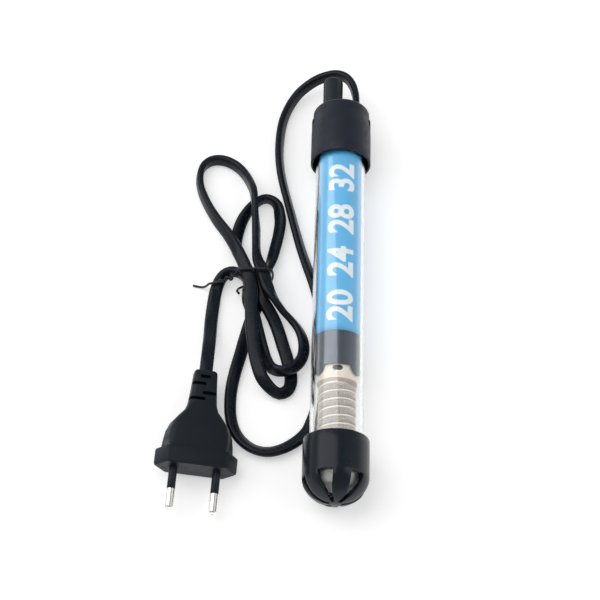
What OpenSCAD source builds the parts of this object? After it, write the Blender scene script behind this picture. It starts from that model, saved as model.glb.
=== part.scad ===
// Submersible aquarium heater: a glass tube that lies along Y with its cap at +Y and its
// guard at -Y, its thermostat, its winding, its flat lead and its two-pin plug.
// Millimetres, +Z up. The guard rests on z = 0.

/* [Overall] */
// Length from the guard's tip to the end of the adjusting knob
overall_len = 220; // [200:1:260]
// Room left round a part that slips into another
fit_gap = 0.15; // [0.1:0.05:0.2]
// Radial room round a shaft that turns in its hole
run_gap = 0.05; // [0.02:0.01:0.08]

/* [Glass tube] */
// Outside diameter of the glass
glass_od = 23.3; // [22:0.1:24]
// Thickness of the glass
glass_wall = 1.55; // [1.3:0.05:1.7]

/* [Foot guard] */
// Room between the glass and the side of the guard
guard_room = 0.75; // [0.6:0.05:1.4]
// Room between the round end of the glass and the guard's tip
tip_room = 0.55; // [0.4:0.05:1]
// Thickness of the guard
guard_wall = 2; // [1.6:0.1:2.2]
// Length of the guard's dome
guard_dome = 12; // [11.5:0.1:15]
// Length of the straight part above the dome
guard_skirt = 16.6; // [12:0.1:22]
// Length of the lip that grips the glass
guard_lip = 3; // [2:0.1:5]
// Number of openings round the dome
guard_windows = 6; // [4:1:6]
// Width of an opening at its wide end
window_w = 6.9; // [4.5:0.1:7.2]
// Width of the slit below each opening
window_slit = 2; // [1.6:0.1:2.2]
// Turn of the first opening from the top
window_turn = -19; // [-30:1:0]
// Distance from the guard's tip to the far edge of an opening
window_reach = 10.7; // [9:0.1:11.4]

/* [Head cap] */
// Room between the glass and the cap's skirt
skirt_room = 1.45; // [1.4:0.05:2.2]
// Step in radius from the skirt to the cap's upper part
cap_step = 0.7; // [0.5:0.05:0.7]
// Length of the cap
cap_len = 30; // [28:0.1:34]
// Thickness of the cap's skirt
cap_wall = 1; // [0.9:0.05:1.2]
// Thickness of the cap's end
cap_end = 2.5; // [2:0.1:3]
// Length of each latch window
latch_len = 6.3; // [5:0.1:7]
// Width of each latch window
latch_w = 7; // [5:0.1:9]
// Length of the collar that is bonded to the glass
collar_len = 10; // [9:0.1:12]

/* [Adjuster] */
// Diameter of the knob
knob_d = 9.4; // [8:0.1:10]
// Length of the knob, with the gap under it
knob_len = 19; // [14:0.1:24]
// Distance of the knob's axis from the tube's axis
knob_x = -4.2; // [-5:0.1:-4]
// Gap between the knob and the cap
knob_gap = 0.4; // [0.3:0.05:0.6]
// Diameter of the spindle and of the adjusting screw
spindle_d = 3; // [2.6:0.1:3.2]

/* [Thermostat] */
// Width of the board that carries the thermostat
board_w = 15; // [14:0.1:15.6]
// Thickness of the board
board_t = 1.2; // [1:0.1:1.6]
// Distance from the tube's axis down to the top of the board
board_drop = 2.4; // [2.2:0.1:2.8]
// Width of the bimetal strip and of the contact leaf
strip_w = 4; // [3:0.1:4.4]
// Thickness of the bimetal strip
bimetal_t = 0.6; // [0.4:0.05:0.8]
// Thickness of the contact leaf
leaf_t = 0.4; // [0.3:0.05:0.5]
// Gap between the two contacts
contact_gap = 0.4; // [0.3:0.05:0.6]
// Diameter of a contact
contact_d = 2.6; // [2:0.1:3]

/* [Element] */
// Distance from the dome's start back to the end of the winding's core
core_foot = 0.8; // [0.4:0.1:2]
// Room between the winding and the glass
winding_room = 1.5; // [1.3:0.05:2.2]
// Thickness of the coiled wire that is wound on the core
wire_d = 2.9; // [2.4:0.05:3]
// Distance between the turns
wire_pitch = 3.95; // [3.6:0.05:4.4]
// Number of turns
wire_turns = 9; // [6:1:9]
// Length of the cream collar at the top of the core
cream_len = 9.5; // [8:0.1:12]
// Room between the cream collar and the shield
cream_room = 0.5; // [0.3:0.05:0.8]
// Length of the dark shield
shield_len = 16.2; // [12:0.1:20]
// Length of the shield's two lugs
lug_len = 3.5; // [3:0.1:4.4]
// Thickness of the shield
shield_wall = 0.7; // [0.5:0.05:0.8]
// Thickness of the label sleeve
label_wall = 0.25; // [0.2:0.05:0.3]

/* [Lead] */
// Width of the flat lead
cord_w = 6; // [5:0.1:6]
// Thickness of the flat lead
cord_t = 3.2; // [2.8:0.1:3.2]
// Height of the grommet above the cap
grommet_rise = 0.8; // [0.5:0.1:2]
// Diameter of the twist tie's wire
tie_d = 1.1; // [0.8:0.1:1.2]

/* [Plug] */
// Diameter of a pin
pin_d = 4; // [3.9:0.05:4.1]
// Length of a pin outside the plug
pin_len = 19; // [18:0.1:20]
// Distance between the pins
pin_pitch = 18.6; // [17.5:0.1:19.2]
// Length of the insulation on a pin
sleeve_len = 10; // [8:0.1:11]
// Thickness of the insulation, let into the pin
sleeve_t = 0.4; // [0.3:0.05:0.6]
// Length of the plug from its face to the end of its neck
plug_len = 46; // [44:0.5:52]
// Width of the plug's flange
plug_w = 36.4; // [35:0.1:37]
// Height of the plug's flange
plug_h = 13.7; // [13:0.1:14]
// Length of the plug's flange
flange_len = 8; // [6:0.1:10]
// Width of the flat top of the plug's flange, between its sloping ends
plug_flat_w = 26; // [24:0.5:30]
// Width of the neck's end
neck_w = 10.8; // [9:0.1:11.4]
// Turn of the plug about a vertical axis
plug_yaw = -2.6; // [-4:0.1:-2]
// Roll of the plug about its own length
plug_roll = 9; // [6:1:10]

/* [Hidden] */
$fn = 64;

// Overlap of joined shapes, reach of cutting shapes past a part, and gaps between parts
eps = 0.01;
past = 1;
touch_gap = 0.02;
seat_gap = 0.05;
part_gap = 0.1;

// Radii and stations along the tube
glass_r = glass_od / 2;
bore_r = glass_r - glass_wall;
guard_r = glass_r + guard_room + guard_wall;
skirt_r = glass_r + skirt_room + cap_wall;
top_r = skirt_r - cap_step;
axis_z = max(skirt_r, guard_r);
tip_y = -overall_len / 2;
dome_y = tip_y + guard_wall + tip_room + glass_r;
guard_rim_y = tip_y + guard_dome + guard_skirt;
cap_top_y = overall_len / 2 - knob_len;
cap_rim_y = cap_top_y - cap_len;
cap_roof_y = cap_top_y - cap_end;
grommet_y = cap_top_y + grommet_rise;
cord_x = 7;
straight_end = 7;

// Cap's shoulder, stopper, collar and latch
cap_round = 2;
taper_from_top = 11.8;
shoulder_from_top = 5.4;
taper_y = cap_top_y - taper_from_top;
shoulder_y = cap_top_y - shoulder_from_top;
stopper_flange = 2.2;
stopper_depth = 20.2;
mouth_y = cap_roof_y - stopper_flange;
stopper_y = mouth_y - stopper_depth;
collar_y = mouth_y - collar_len;
collar_low_gap = 0.3;
collar_high_gap = 0.2;
latch_below_mouth = 0.8;
latch_y = mouth_y - latch_len - latch_below_mouth;
latch_gap = 0.3;
latch_inset = 0.1;
spindle_room = 0.3;
grommet_wall = 0.7;
seal_t = 0.9;
seal_seat = 3;
spindle_r = spindle_d / 2;
seal_r = spindle_r + run_gap + 2 * seal_t;

// Sleeves inside the glass
sleeve_gap = 0.1;
label_r = bore_r - sleeve_gap;
seam_half = 0.6;
label_in_r = label_r - label_wall;
shield_in_r = label_r - shield_wall;
cream_r = shield_in_r - cream_room;
core_flange_t = 1.2;
core_flange_lip = 0.6;
core_bore_r = 1.2;
winding_r = bore_r - winding_room;
wire_r = wire_d / 2;
wire_path_r = winding_r - wire_r;
core_r = wire_path_r - wire_r - seat_gap;
core_end_y = dome_y + core_foot;
wire_end_gap = 0.15;
wire_foot_y = core_end_y + core_flange_t + wire_r + wire_end_gap;
wire_head_y = wire_foot_y + wire_turns * wire_pitch;
cream_y = wire_head_y + wire_r + wire_end_gap;
cream_top_y = cream_y + cream_len;
core_recess = 0.5;
core_head_y = cream_top_y - core_recess;
shield_lap = 3.2;
shield_y = cream_top_y - shield_lap;
shield_top_y = shield_y + shield_len;
lug_w = 6.8;
lug_turn = 57;
hole_r = 1.25;
hole_side = 0.9;
foot_to_hole = 4.8;
hole_y = cream_y + foot_to_hole;
groove_room = 0.25;
label_foot_gap = 0.2;
label_head_gap = 0.5;
label_y = shield_top_y + label_foot_gap;
label_top_y = stopper_y - label_head_gap;
pad_len = 6.5;
pad_gap = 0.3;
mica_t = 0.75;

// Thermostat, from the stopper down
board_top = -board_drop;
stopper_to_board = 4;
stopper_to_screw = 12;
collar_to_board = 6;
board_end_y = stopper_y - stopper_to_board;
board_y = cream_top_y + collar_to_board;
screw_head_y = stopper_y - stopper_to_screw;
tongue_w = 0.9;
tongue_len = 2.2;
tongue_gap = 0.1;
spindle_end_gap = 0.6;
screw_len = 16;
screw_head_t = 4;
screw_head_lip = 0.9;
cone_len = 3;
cone_tip_r = 0.5;
bush_len = 5;
bush_r = board_drop - seat_gap;
bush_gap = 0.8;
bush_y = screw_head_y - screw_head_t - bush_len - bush_gap;
bracket_t = 1.2;
bracket_edge = 0.6;
leaf_room = 0.15;
leaf_end_gap = 0.4;
leaf_z = spindle_r + leaf_room;
fixed_contact_t = 1;
moving_contact_t = 1.2;
strip_z = leaf_z + leaf_t + fixed_contact_t + contact_gap + moving_contact_t;
contact_to_bush = 16;
contact_y = bush_y - contact_to_bush;
contact_to_pivot = 38;
pivot_y = contact_y - contact_to_pivot;
pivot_gap = bimetal_t / 2 + part_gap;
post_len = 6.7;
strip_tail = 4.6;
arm_tip_y = contact_y + strip_tail;
armature_t = 0.6;
armature_len = 3.6;
magnet_x = -0.6;
magnet_reach = 0.2;
magnet_w = 4.6;
magnet_len = 4;
magnet_t = 2;
magnet_gap = 0.5;
magnet_z = strip_z + bimetal_t - magnet_gap - magnet_t;
contact_to_leaf_foot = 24;
leaf_foot_y = contact_y - contact_to_leaf_foot;
leaf_foot_len = 5;
disc_t = 1.2;
disc_gap = 0.05;
disc_horn_x = 8;
notch_side = 1.2;
notch_room = 0.15;
shield_to_disc = 3;
board_to_disc = 6;
foot_disc_y = shield_top_y + shield_to_disc;
head_disc_y = board_end_y - board_to_disc;

// Lamp, resistor, capacitor and wires
lamp_r = 2.4;
lamp_len = 9.6;
lamp_x = 4.4;
resistor_r = 1.2;
resistor_len = 6.5;
leaf_to_resistor = 9;
resistor_y = leaf_foot_y - leaf_to_resistor;
capacitor_r = 3.4;
capacitor_t = 2.6;
capacitor_x = 3.6;
pivot_to_capacitor = 4;
capacitor_y = pivot_y - pivot_to_capacitor;
wire_lead_r = 0.8;
wire_z = board_top + wire_lead_r + seat_gap;
under_z = board_top - board_t - wire_lead_r - seat_gap;
conductor_z = 1.7;
lead_stub = 1;
lead_end_y = stopper_y - lead_stub - touch_gap;
side_wire_x = 6.4;
mid_wire_x = 0.6;
neutral_x = 3;
terminal_t = 1.6;
terminal_w = 2.4;
terminal_h = 2;
terminal_x = wire_d + part_gap + terminal_t / 2;
rivet_step = 1.5;
rivet_r = 0.9;
rivet_h = 0.7;

// Winding's resolution
wire_sides = 6;
wire_rings = 24;

// Pins and plug
pin_r = pin_d / 2;
root_len = 7;
root_r = pin_r + 0.3;
sleeve_step = 0.2;
neck_r = pin_r - sleeve_step - sleeve_t;
tip_len = 0.9;
tip_side = 0.3;
tip_inset = 1;
plug_z = plug_h / 2 * cos(plug_roll) + plug_flat_w / 2 * sin(plug_roll);
plug_pos = [-60.1, -93.6, plug_z];

// Route of the lead from the grommet to the plug: x, y, height and roll in degrees.
// A roll of 0 lies flat and 90 stands on edge.
cord_route = [
  [cord_x, grommet_y, axis_z, 90], [cord_x, grommet_y + straight_end, axis_z, 90],
  [6.5, 103, 14.2, 86], [5, 108.5, 13.8, 84], [2.2, 113.2, 13, 86], [-2, 115.8, 11.8, 82],
  [-6.7, 116.3, 10.2, 82], [-13, 114.8, 8, 78], [-19.77, 110.38, 5.4, 76],
  [-23.94, 104.84, 4, 72], [-26.64, 99.02, 3.3, 72], [-28.42, 92.52, 3, 68],
  [-29.36, 84.02, 3, 68], [-29.46, 74.01, 3, 70], [-28.38, 64, 3, 68], [-26.24, 53.99, 3, 66],
  [-23.25, 42.48, 3, 66], [-20.53, 31.95, 2.9, 62], [-17.81, 21.96, 2.9, 58],
  [-14.76, 12.52, 2.8, 52], [-11.3, 3.5, 2.5, 34], [-8.1, -7, 1.9, 10], [-6.3, -18, 1.7, 0],
  [-6, -29, 1.7, 0], [-6.1, -40, 1.7, 0], [-6.7, -50, 1.7, 0], [-8.4, -59, 1.7, 0],
  [-10.4, -66, 1.9, -10], [-13, -71.8, 2.2, -20], [-17.97, -76.7, 2.3, -28],
  [-23.96, -80.26, 2.5, -34], [-30.03, -81.61, 2.6, -38], [-36.12, -80.25, 2.7, -44],
  [-41.2, -76.4, 2.6, -42], [-44.6, -71.4, 2.6, -40], [-46.4, -65, 2.6, -40],
  [-46.92, -58.03, 2.6, -38], [-46.59, -50.58, 2.5, -35], [-45.31, -42.64, 2.5, -34],
  [-43.42, -34.16, 2.3, -24], [-41.65, -25.6, 1.9, -8], [-39.8, -17.5, 1.7, 0],
  [-37.6, -10.5, 1.7, 0], [-35.3, -5, 1.7, 0], [-33.9, -0.2, 2.8, 42], [-33.5, 4.5, 4.6, 90],
  [-32.4, 9.4, 3.9, 65], [-31.01, 15.3, 3, 38], [-29.6, 22.34, 2.6, 29], [-28.37, 29.41, 2.4, 30],
  [-27.78, 35.96, 2.4, 30], [-28.3, 40.6, 2.6, 40], [-29.2, 44.74, 2.9, 60],
  [-31.64, 47.65, 3.1, 84], [-34.86, 48.71, 3.1, 90], [-38.1, 47.4, 3.1, 85],
  [-40.9, 44.8, 3, 75], [-43.5, 41, 2.9, 60], [-45.75, 36.37, 2.6, 42], [-47.24, 30.98, 2.4, 30],
  [-48, 25.5, 2.4, 30], [-47.6, 19.8, 2.6, 38], [-45.5, 14.8, 3.1, 60], [-41.6, 10, 3.9, 80],
  [-37.9, 5, 4.7, 90], [-37.4, 0.8, 5.5, 118], [-36.6, -3.2, 5.9, 150], [-34.5, -7.8, 5.8, 178],
  [-31.75, -12, 4.8, 180], [-28.98, -16.79, 3.4, 180], [-26.58, -22.63, 2.1, 180],
  [-24.66, -28.66, 1.7, 180], [-22.96, -33.96, 1.7, 180], [-21.55, -39.1, 1.7, 180],
  [-20.55, -43.95, 1.8, 184], [-20.57, -48.41, 2.3, 205], [-22, -52.11, 2.9, 228],
  [-25.3, -53.75, 3.3, 240], [-28.39, -52.51, 4.2, 238], [-30.96, -50.54, 5.8, 222],
  [-33.3, -47.6, 7.1, 204], [-35, -43.2, 7.9, 190], [-36.4, -38, 8.3, 182],
  [-37.4, -32.4, 8.8, 180], [-38.3, -26, 9.4, 180], [-38.9, -19.5, 9.8, 180],
  [-39.2, -13, 9.9, 180], [-39.5, -7, 9.9, 180], [-40.1, -1.6, 9.9, 182], [-41.2, 3, 9.9, 186],
  [-43, 7.6, 10, 194], [-45.5, 13.2, 9.8, 206], [-48, 18.6, 8.9, 218], [-52, 26.2, 7.2, 228],
  [-56.88, 33.92, 5.4, 238], [-60.92, 41.18, 4.1, 250], [-64.12, 48.07, 3.3, 253],
  [-66.19, 53.95, 3.1, 258], [-67, 58.99, 3.1, 256], [-66.58, 63.6, 3.1, 262],
  [-64.98, 67.15, 3.1, 270], [-61.96, 69.52, 3.1, 277], [-58.5, 70.22, 3.1, 282],
  [-55.05, 69.66, 3.1, 285], [-51.35, 67.78, 3.3, 285], [-47.76, 64.41, 4, 285],
  [-44.7, 59.72, 5.2, 285], [-42.29, 53.96, 7.4, 284], [-40.69, 48.53, 9.4, 281],
  [-40, 43, 9.7, 275], [-39.4, 37, 8.4, 266], [-38.77, 30.51, 7, 253], [-38.53, 24.01, 6.6, 254],
  [-38.15, 17.61, 7, 250], [-37.2, 12, 8.2, 222], [-35.6, 7.4, 9.5, 196], [-34, 3, 9.9, 184],
  [-32.8, -1.4, 9.8, 196], [-30.9, -5.4, 9, 224], [-28.4, -9, 7.6, 245], [-24.9, -13.2, 5.4, 249],
  [-20.87, -16.94, 3.6, 246], [-17.76, -20.94, 3.1, 241], [-15.78, -25.4, 2.9, 232],
  [-15, -29.93, 2.8, 224], [-15.37, -34.38, 3.4, 228], [-16.66, -38.54, 5, 236],
  [-19.1, -42.3, 6.8, 246], [-22.6, -44.4, 7.6, 252], [-26, -44.3, 7, 250],
  [-29.2, -42, 5.2, 236], [-31.5, -38, 3.7, 220], [-33.2, -33.4, 3.4, 208],
  [-34.8, -28.2, 4.2, 200], [-36.4, -22.8, 5.6, 190], [-37.9, -17.2, 6.1, 186],
  [-39.6, -12, 5.7, 198], [-41.4, -7.4, 5.2, 226], [-42.3, -2.8, 4.5, 254],
  [-42.2, 1.6, 4.5, 270], [-43.8, 5.2, 4.5, 270], [-46.8, 7.4, 4.2, 262], [-50, 7.7, 3.7, 248],
  [-52.9, 6, 3.3, 235], [-55, 2.4, 2.8, 220], [-56.3, -2.6, 2.3, 205], [-57, -9, 1.9, 190],
  [-57.5, -17, 2.2, 182], [-57.48, -25.03, 4.2, 182], [-57.48, -32.53, 7, 186]
];

// Route of the twist tie's wire: its tail, once round the bundle and a hook at its end
tie_route = [
  [-67, 1.8, 0.7], [-63, 1, 0.8], [-60.8, 0.6, 2.6], [-59.2, 0.4, 5.2], [-56.4, 0.4, 6.5],
  [-53, 1.2, 6.8], [-50.4, 2.8, 6.4], [-48.2, 3.4, 7.6], [-46.9, 4, 9.4], [-46.5, 4.4, 11],
  [-44.8, 4.6, 12.4], [-41.4, 4.6, 12.9], [-37.6, 4.6, 12.9], [-33.6, 4.6, 12.7],
  [-30.9, 4.6, 11.6], [-30.2, 4.6, 8.6], [-30.3, 4.6, 4.6], [-31.2, 4.6, 1.6],
  [-33.6, 4.6, 0.62], [-37, 4.6, 0.6], [-41, 3.6, 0.6], [-43.8, 2, 0.62], [-45.6, 0.4, 1.6],
  [-46.2, -1.4, 3.4], [-46.2, -3.4, 5.6], [-45.2, -5.2, 6.6]
];

// ---------------------------------------------------------------- helpers

// Puts what is drawn along +Z along +Y, on the tube's axis, from station y
module on_axis(y, x = 0) translate([x, y, axis_z]) rotate([-90, 0, 0]) children();

// A plain ring along the axis
module ring(y, length, r_out, r_in) on_axis(y) difference() {
  cylinder(h = length, r = r_out);
  translate([0, 0, -past]) cylinder(h = length + 2 * past, r = r_in);
}

// A box from the tube's axis: x range, y range and height range
module axis_box(x0, x1, y0, y1, z0, z1)
  translate([x0, y0, axis_z + z0]) cube([x1 - x0, y1 - y0, z1 - z0]);

// A slot with round ends, its long side upright, along the axis
module upright_slot(y, length, x, wide, high) on_axis(y, x) linear_extrude(length) union() {
  for (side = [-1, 1]) translate([0, side * (high - wide) / 2]) circle(d = wide);
  square([wide, high - wide], center = true);
}

function unit(v) = v / norm(v);
function xyz(p) = [p[0], p[1], p[2]];
function heading(path, i) = unit(
  xyz(path[min(i + 1, len(path) - 1)]) - xyz(path[max(i - 1, 0)])
);

// The two directions across a path: level and square to it, turned by the point's roll
function across(path, i) = let (
  t = heading(path, i),
  level = unit(cross(t, [0, 0, 1])),
  up = cross(level, t),
  roll = len(path[i]) > 3 ? path[i][3] : 0
) [level * cos(roll) + up * sin(roll), up * cos(roll) - level * sin(roll)];

// A closed tube: the profile's points carried along the path
module swept(path, profile) {
  n = len(profile);
  rings = len(path);
  points = [for (i = [0 : rings - 1]) let (a = across(path, i))
    for (q = profile) xyz(path[i]) + a[0] * q[0] + a[1] * q[1]];
  sides = [for (i = [0 : rings - 2], k = [0 : n - 1]) let (
    a = i * n + k, b = i * n + (k + 1) % n) each [[a, a + n, b], [b, a + n, b + n]]];
  starts = [for (k = [1 : n - 2]) [0, k, k + 1]];
  ends = [for (k = [1 : n - 2]) let (z = (rings - 1) * n) [z, z + k + 1, z + k]];
  polyhedron(points = points, faces = concat(sides, starts, ends), convexity = 10);
}

// Eight points round a flat lead with round edges
function flat_profile(w, t) = let (edge = w / 2 - 0.29 * t) [
  [w / 2, 0.21 * t], [edge, t / 2], [-edge, t / 2], [-w / 2, 0.21 * t],
  [-w / 2, -0.21 * t], [-edge, -t / 2], [edge, -t / 2], [w / 2, -0.21 * t]
];
function round_profile(r, n) = [for (k = [0 : n - 1]) r * [cos(360 * k / n), sin(360 * k / n)]];

// The least gap between stretches of the lead more than so many points apart along it,
// where they come nearer than this
apart_rings = 4;
near = 14;
function core_lines(path) = [for (i = [0 : len(path) - 1]) let (a = across(path, i))
  [for (s = [-1, 0, 1]) xyz(path[i]) + a[0] * s * (cord_w - cord_t) / 2]];
function to_segment(p, a, b) = let (
  d = b - a, t = max(0, min(1, ((p - a) * d) / (d * d)))) norm(p - a - t * d);
function least_gap(lines) = min([for (i = [0 : len(lines) - 1], s = [0 : 2])
  let (p = lines[i][s])
  for (j = [0 : len(lines) - 2]) if (abs(i - j) > apart_rings && norm(lines[j][1] - p) < near)
    for (u = [0 : 2]) to_segment(p, lines[j][u], lines[j + 1][u])]) - cord_t;

// ---------------------------------------------------------------- outer parts

// Half of a test tube's section: its wall, closed by a round end at 0
module test_tube(r_out, r_in, length) difference() {
  union() {
    intersection() {
      circle(r = r_out, $fn = 96);
      translate([0, -r_out]) square([r_out, r_out]);
    }
    translate([0, -eps]) square([r_out, length + eps]);
  }
  intersection() {
    circle(r = r_in, $fn = 96);
    translate([-past, -r_in]) square([r_in + past, r_in + eps]);
  }
  translate([-past, 0]) square([r_in + past, length + past]);
}

// Glass tube with a round end at the foot
module glass_tube() color([0.85, 0.93, 0.95, 0.35]) on_axis(dome_y) rotate_extrude()
  test_tube(glass_r, bore_r, mouth_y - dome_y);

// Outline of a domed end and the straight part above it: its tip is at start
function domed(r, start, dome, top) = concat(
  [for (a = [-90 : 6 : 0]) [r * cos(a), start + (dome - start) * (1 + sin(a))]], [[r, top]]);

// Outline of one opening, seen along the tube
module window_outline() {
  waist_r = 0.72 * guard_r;
  slit_r = 0.46 * guard_r;
  hub_r = 2.6;
  narrowing = 0.2;
  right = [[window_w / 2, guard_r + past], [window_w / 2, guard_r], [window_w / 4, waist_r],
    [window_slit / 2, slit_r], [window_slit / 2 - narrowing, hub_r]];
  polygon(concat(right, [for (i = [len(right) - 1 : -1 : 0]) [-right[i][0], right[i][1]]]));
}

// Domed guard that slips over the glass, with openings round its dome
module foot_guard() color([0.09, 0.1, 0.12]) difference() {
  long = guard_dome + guard_skirt;
  union() {
    on_axis(tip_y) rotate_extrude() difference() {
      polygon(concat(domed(guard_r, 0, guard_dome, long), [[0, long]]));
      polygon(concat(domed(guard_r - guard_wall, guard_wall, guard_dome, long + past),
        [[0, long + past]]));
    }
    ring(guard_rim_y - guard_lip, guard_lip, guard_r - guard_wall / 4, glass_r + fit_gap);
  }
  for (k = [0 : guard_windows - 1])
    on_axis(tip_y - past) rotate([0, 0, 180 + window_turn + k * 360 / guard_windows])
      linear_extrude(window_reach + past) window_outline();
}

// Cap with an open skirt, two latch windows and holes for the spindle and the grommet
module head_cap() color([0.1, 0.11, 0.13]) difference() {
  on_axis(0) rotate_extrude() difference() {
    union() {
      polygon([[0, cap_rim_y], [skirt_r, cap_rim_y], [skirt_r, taper_y], [top_r, shoulder_y],
        [top_r, cap_top_y - cap_round], [top_r - cap_round, cap_top_y], [0, cap_top_y]]);
      translate([top_r - cap_round, cap_top_y - cap_round]) circle(r = cap_round);
    }
    polygon([[-past, cap_rim_y - past], [skirt_r - cap_wall, cap_rim_y - past],
      [skirt_r - cap_wall, taper_y], [top_r - cap_wall, shoulder_y],
      [top_r - cap_wall, cap_roof_y], [-past, cap_roof_y]]);
  }
  for (side = [0, 180]) translate([0, 0, axis_z]) rotate([0, side, 0])
    translate([glass_r, latch_y, -latch_w / 2])
      cube([skirt_room + cap_wall + past, latch_len, latch_w]);
  on_axis(cap_roof_y - past, knob_x)
    cylinder(h = cap_end + 2 * past, r = spindle_r + spindle_room);
  upright_slot(cap_roof_y - past, cap_end + 2 * past, cord_x,
    cord_t + 2 * (grommet_wall + run_gap), cord_w + 2 * (grommet_wall + run_gap));
}

// Collar bonded to the glass, with two lugs that latch in the cap's windows
module snap_collar() color([0.14, 0.15, 0.17]) {
  in_r = glass_r + fit_gap;
  low_r = skirt_r - cap_wall - collar_low_gap;
  high_r = top_r - cap_wall - collar_high_gap;
  on_axis(0) rotate_extrude() polygon([[in_r, collar_y], [low_r, collar_y], [low_r, taper_y],
    [high_r, shoulder_y], [high_r, mouth_y], [in_r, mouth_y]]);
  intersection() {
    ring(latch_y + latch_gap, latch_len - 2 * latch_gap, skirt_r - latch_inset, in_r + part_gap);
    axis_box(-skirt_r, skirt_r, latch_y, mouth_y, -latch_w / 2 + latch_gap,
      latch_w / 2 - latch_gap);
  }
}

// Stopper that seals the glass, with holes for the spindle, its seal and the lead
module rubber_stopper() color([0.16, 0.16, 0.17]) {
  total = stopper_depth + stopper_flange;
  difference() {
    union() {
      on_axis(stopper_y) cylinder(h = stopper_depth + part_gap, r = bore_r - seat_gap);
      on_axis(mouth_y + seat_gap) cylinder(h = stopper_flange - seat_gap,
        r = top_r - cap_wall - collar_high_gap);
    }
    on_axis(stopper_y - past, knob_x) cylinder(h = total + 2 * past, r = spindle_r + run_gap);
    on_axis(cap_roof_y - seal_seat, knob_x)
      cylinder(h = seal_seat + past, r = seal_r + part_gap);
    upright_slot(stopper_y - past, total + 2 * past, cord_x, cord_t + 2 * part_gap,
      cord_w + 2 * part_gap);
  }
}

// Grommet round the lead, through the cap's end
module cord_grommet() color([0.05, 0.05, 0.06])
  upright_slot(cap_roof_y + run_gap, grommet_y - cap_roof_y - run_gap, cord_x,
    cord_t + 2 * grommet_wall, cord_w + 2 * grommet_wall);

// End of the lead, inside the cap and through the stopper
module inner_cord() color([0.1, 0.11, 0.13])
  upright_slot(stopper_y - lead_stub, cap_roof_y - stopper_y + lead_stub, cord_x, cord_t, cord_w);

// ---------------------------------------------------------------- adjuster

// Knob with a rounded end and a blind bore for the spindle
knob_round = 1.6;
knob_bore = 8;
module adjuster_knob() color([0.08, 0.09, 0.1]) {
  r = knob_d / 2;
  long = knob_len - knob_gap;
  on_axis(cap_top_y + knob_gap, knob_x) rotate_extrude() difference() {
    union() {
      polygon([[0, 0], [r, 0], [r, long - knob_round], [r - knob_round, long], [0, long]]);
      translate([r - knob_round, long - knob_round]) circle(r = knob_round);
    }
    translate([-past, -past]) square([spindle_r + past, knob_bore + past]);
    translate([-2 * r, -r]) square([2 * r, 2 * r + long]);
  }
}

// Spindle with a flat tongue that drives the screw
module adjuster_spindle() color([0.75, 0.66, 0.35]) {
  end_y = screw_head_y + spindle_end_gap;
  on_axis(end_y, knob_x) cylinder(h = cap_top_y + knob_gap + knob_bore - end_y, r = spindle_r);
  axis_box(knob_x - tongue_w / 2, knob_x + tongue_w / 2, end_y - tongue_len, end_y + eps,
    tongue_gap - spindle_r, spindle_r - tongue_gap);
}

// Sealing ring round the spindle
module spindle_seal() color([0.1, 0.1, 0.1])
  on_axis(cap_roof_y - seal_seat + seal_t, knob_x) rotate_extrude()
    translate([spindle_r + run_gap + seal_t, 0]) circle(r = seal_t, $fn = 32);

// Adjusting screw: slotted head, shank and cone
module adjusting_screw() color([0.8, 0.7, 0.4]) difference() {
  head_r = spindle_r + screw_head_lip;
  on_axis(screw_head_y - screw_len, knob_x) rotate_extrude() polygon([
    [0, 0], [cone_tip_r, 0], [spindle_r, cone_len], [spindle_r, screw_len - screw_head_t],
    [head_r, screw_len - screw_head_t], [head_r, screw_len], [0, screw_len]
  ]);
  axis_box(knob_x - tongue_w / 2 - tongue_gap, knob_x + tongue_w / 2 + tongue_gap,
    screw_head_y - tongue_len - spindle_end_gap / 2, screw_head_y + past, -2 * head_r,
    2 * head_r);
}

// Brass bush that carries the screw
module screw_bush() color([0.83, 0.68, 0.32]) on_axis(bush_y, knob_x) difference() {
  cylinder(h = bush_len, r = bush_r);
  translate([0, 0, -past]) cylinder(h = bush_len + 2 * past, r = spindle_r + run_gap);
}

// Upright plate that holds the bush, on the board
module screw_bracket() color([0.75, 0.76, 0.78]) difference() {
  side = bush_r + bracket_edge;
  middle = bush_y + (bush_len - bracket_t) / 2;
  axis_box(knob_x - side, knob_x + side, middle, middle + bracket_t, board_top, side);
  on_axis(bush_y, knob_x) cylinder(h = bush_len, r = bush_r + touch_gap);
}

// ---------------------------------------------------------------- inside the glass

// Rolled label sheet with a narrow seam underneath
module label_sleeve() color([0.42, 0.75, 0.92]) difference() {
  ring(label_y, label_top_y - label_y, label_r, label_in_r);
  axis_box(-seam_half, seam_half, label_y - past, label_top_y + past, -label_r - past, 0);
}

// Dark shield with a lug at each side
module heat_shield() color([0.2, 0.22, 0.25]) {
  ring(shield_y, shield_top_y - shield_y, label_r, shield_in_r);
  for (side = [-1, 1]) intersection() {
    ring(shield_y - lug_len - past, lug_len + past + eps, label_r, shield_in_r);
    translate([0, shield_y - lug_len + lug_w / 2, axis_z]) rotate([0, side * lug_turn, 0])
      linear_extrude(2 * label_r) union() {
        circle(d = lug_w);
        translate([-lug_w / 2, 0]) square(lug_w);
      }
  }
}

// Oval hole from the core's bore up through the cream collar
module oval_hole() {
  for (side = [-1, 1]) translate([side * hole_side, hole_y, axis_z])
    cylinder(h = cream_r + past, r = hole_r);
  axis_box(-hole_side, hole_side, hole_y - hole_r, hole_y + hole_r, 0, cream_r + past);
}

// Cream collar at the head of the core, with an oval hole in its top and a groove for a wire
module ceramic_collar() color([0.9, 0.87, 0.78]) difference() {
  ring(cream_y, cream_len, cream_r, core_r + part_gap);
  on_axis(cream_y - past, -terminal_x) translate([0, wire_path_r, 0])
    cylinder(h = cream_len + 2 * past, r = wire_lead_r + groove_room);
  oval_hole();
}

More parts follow.
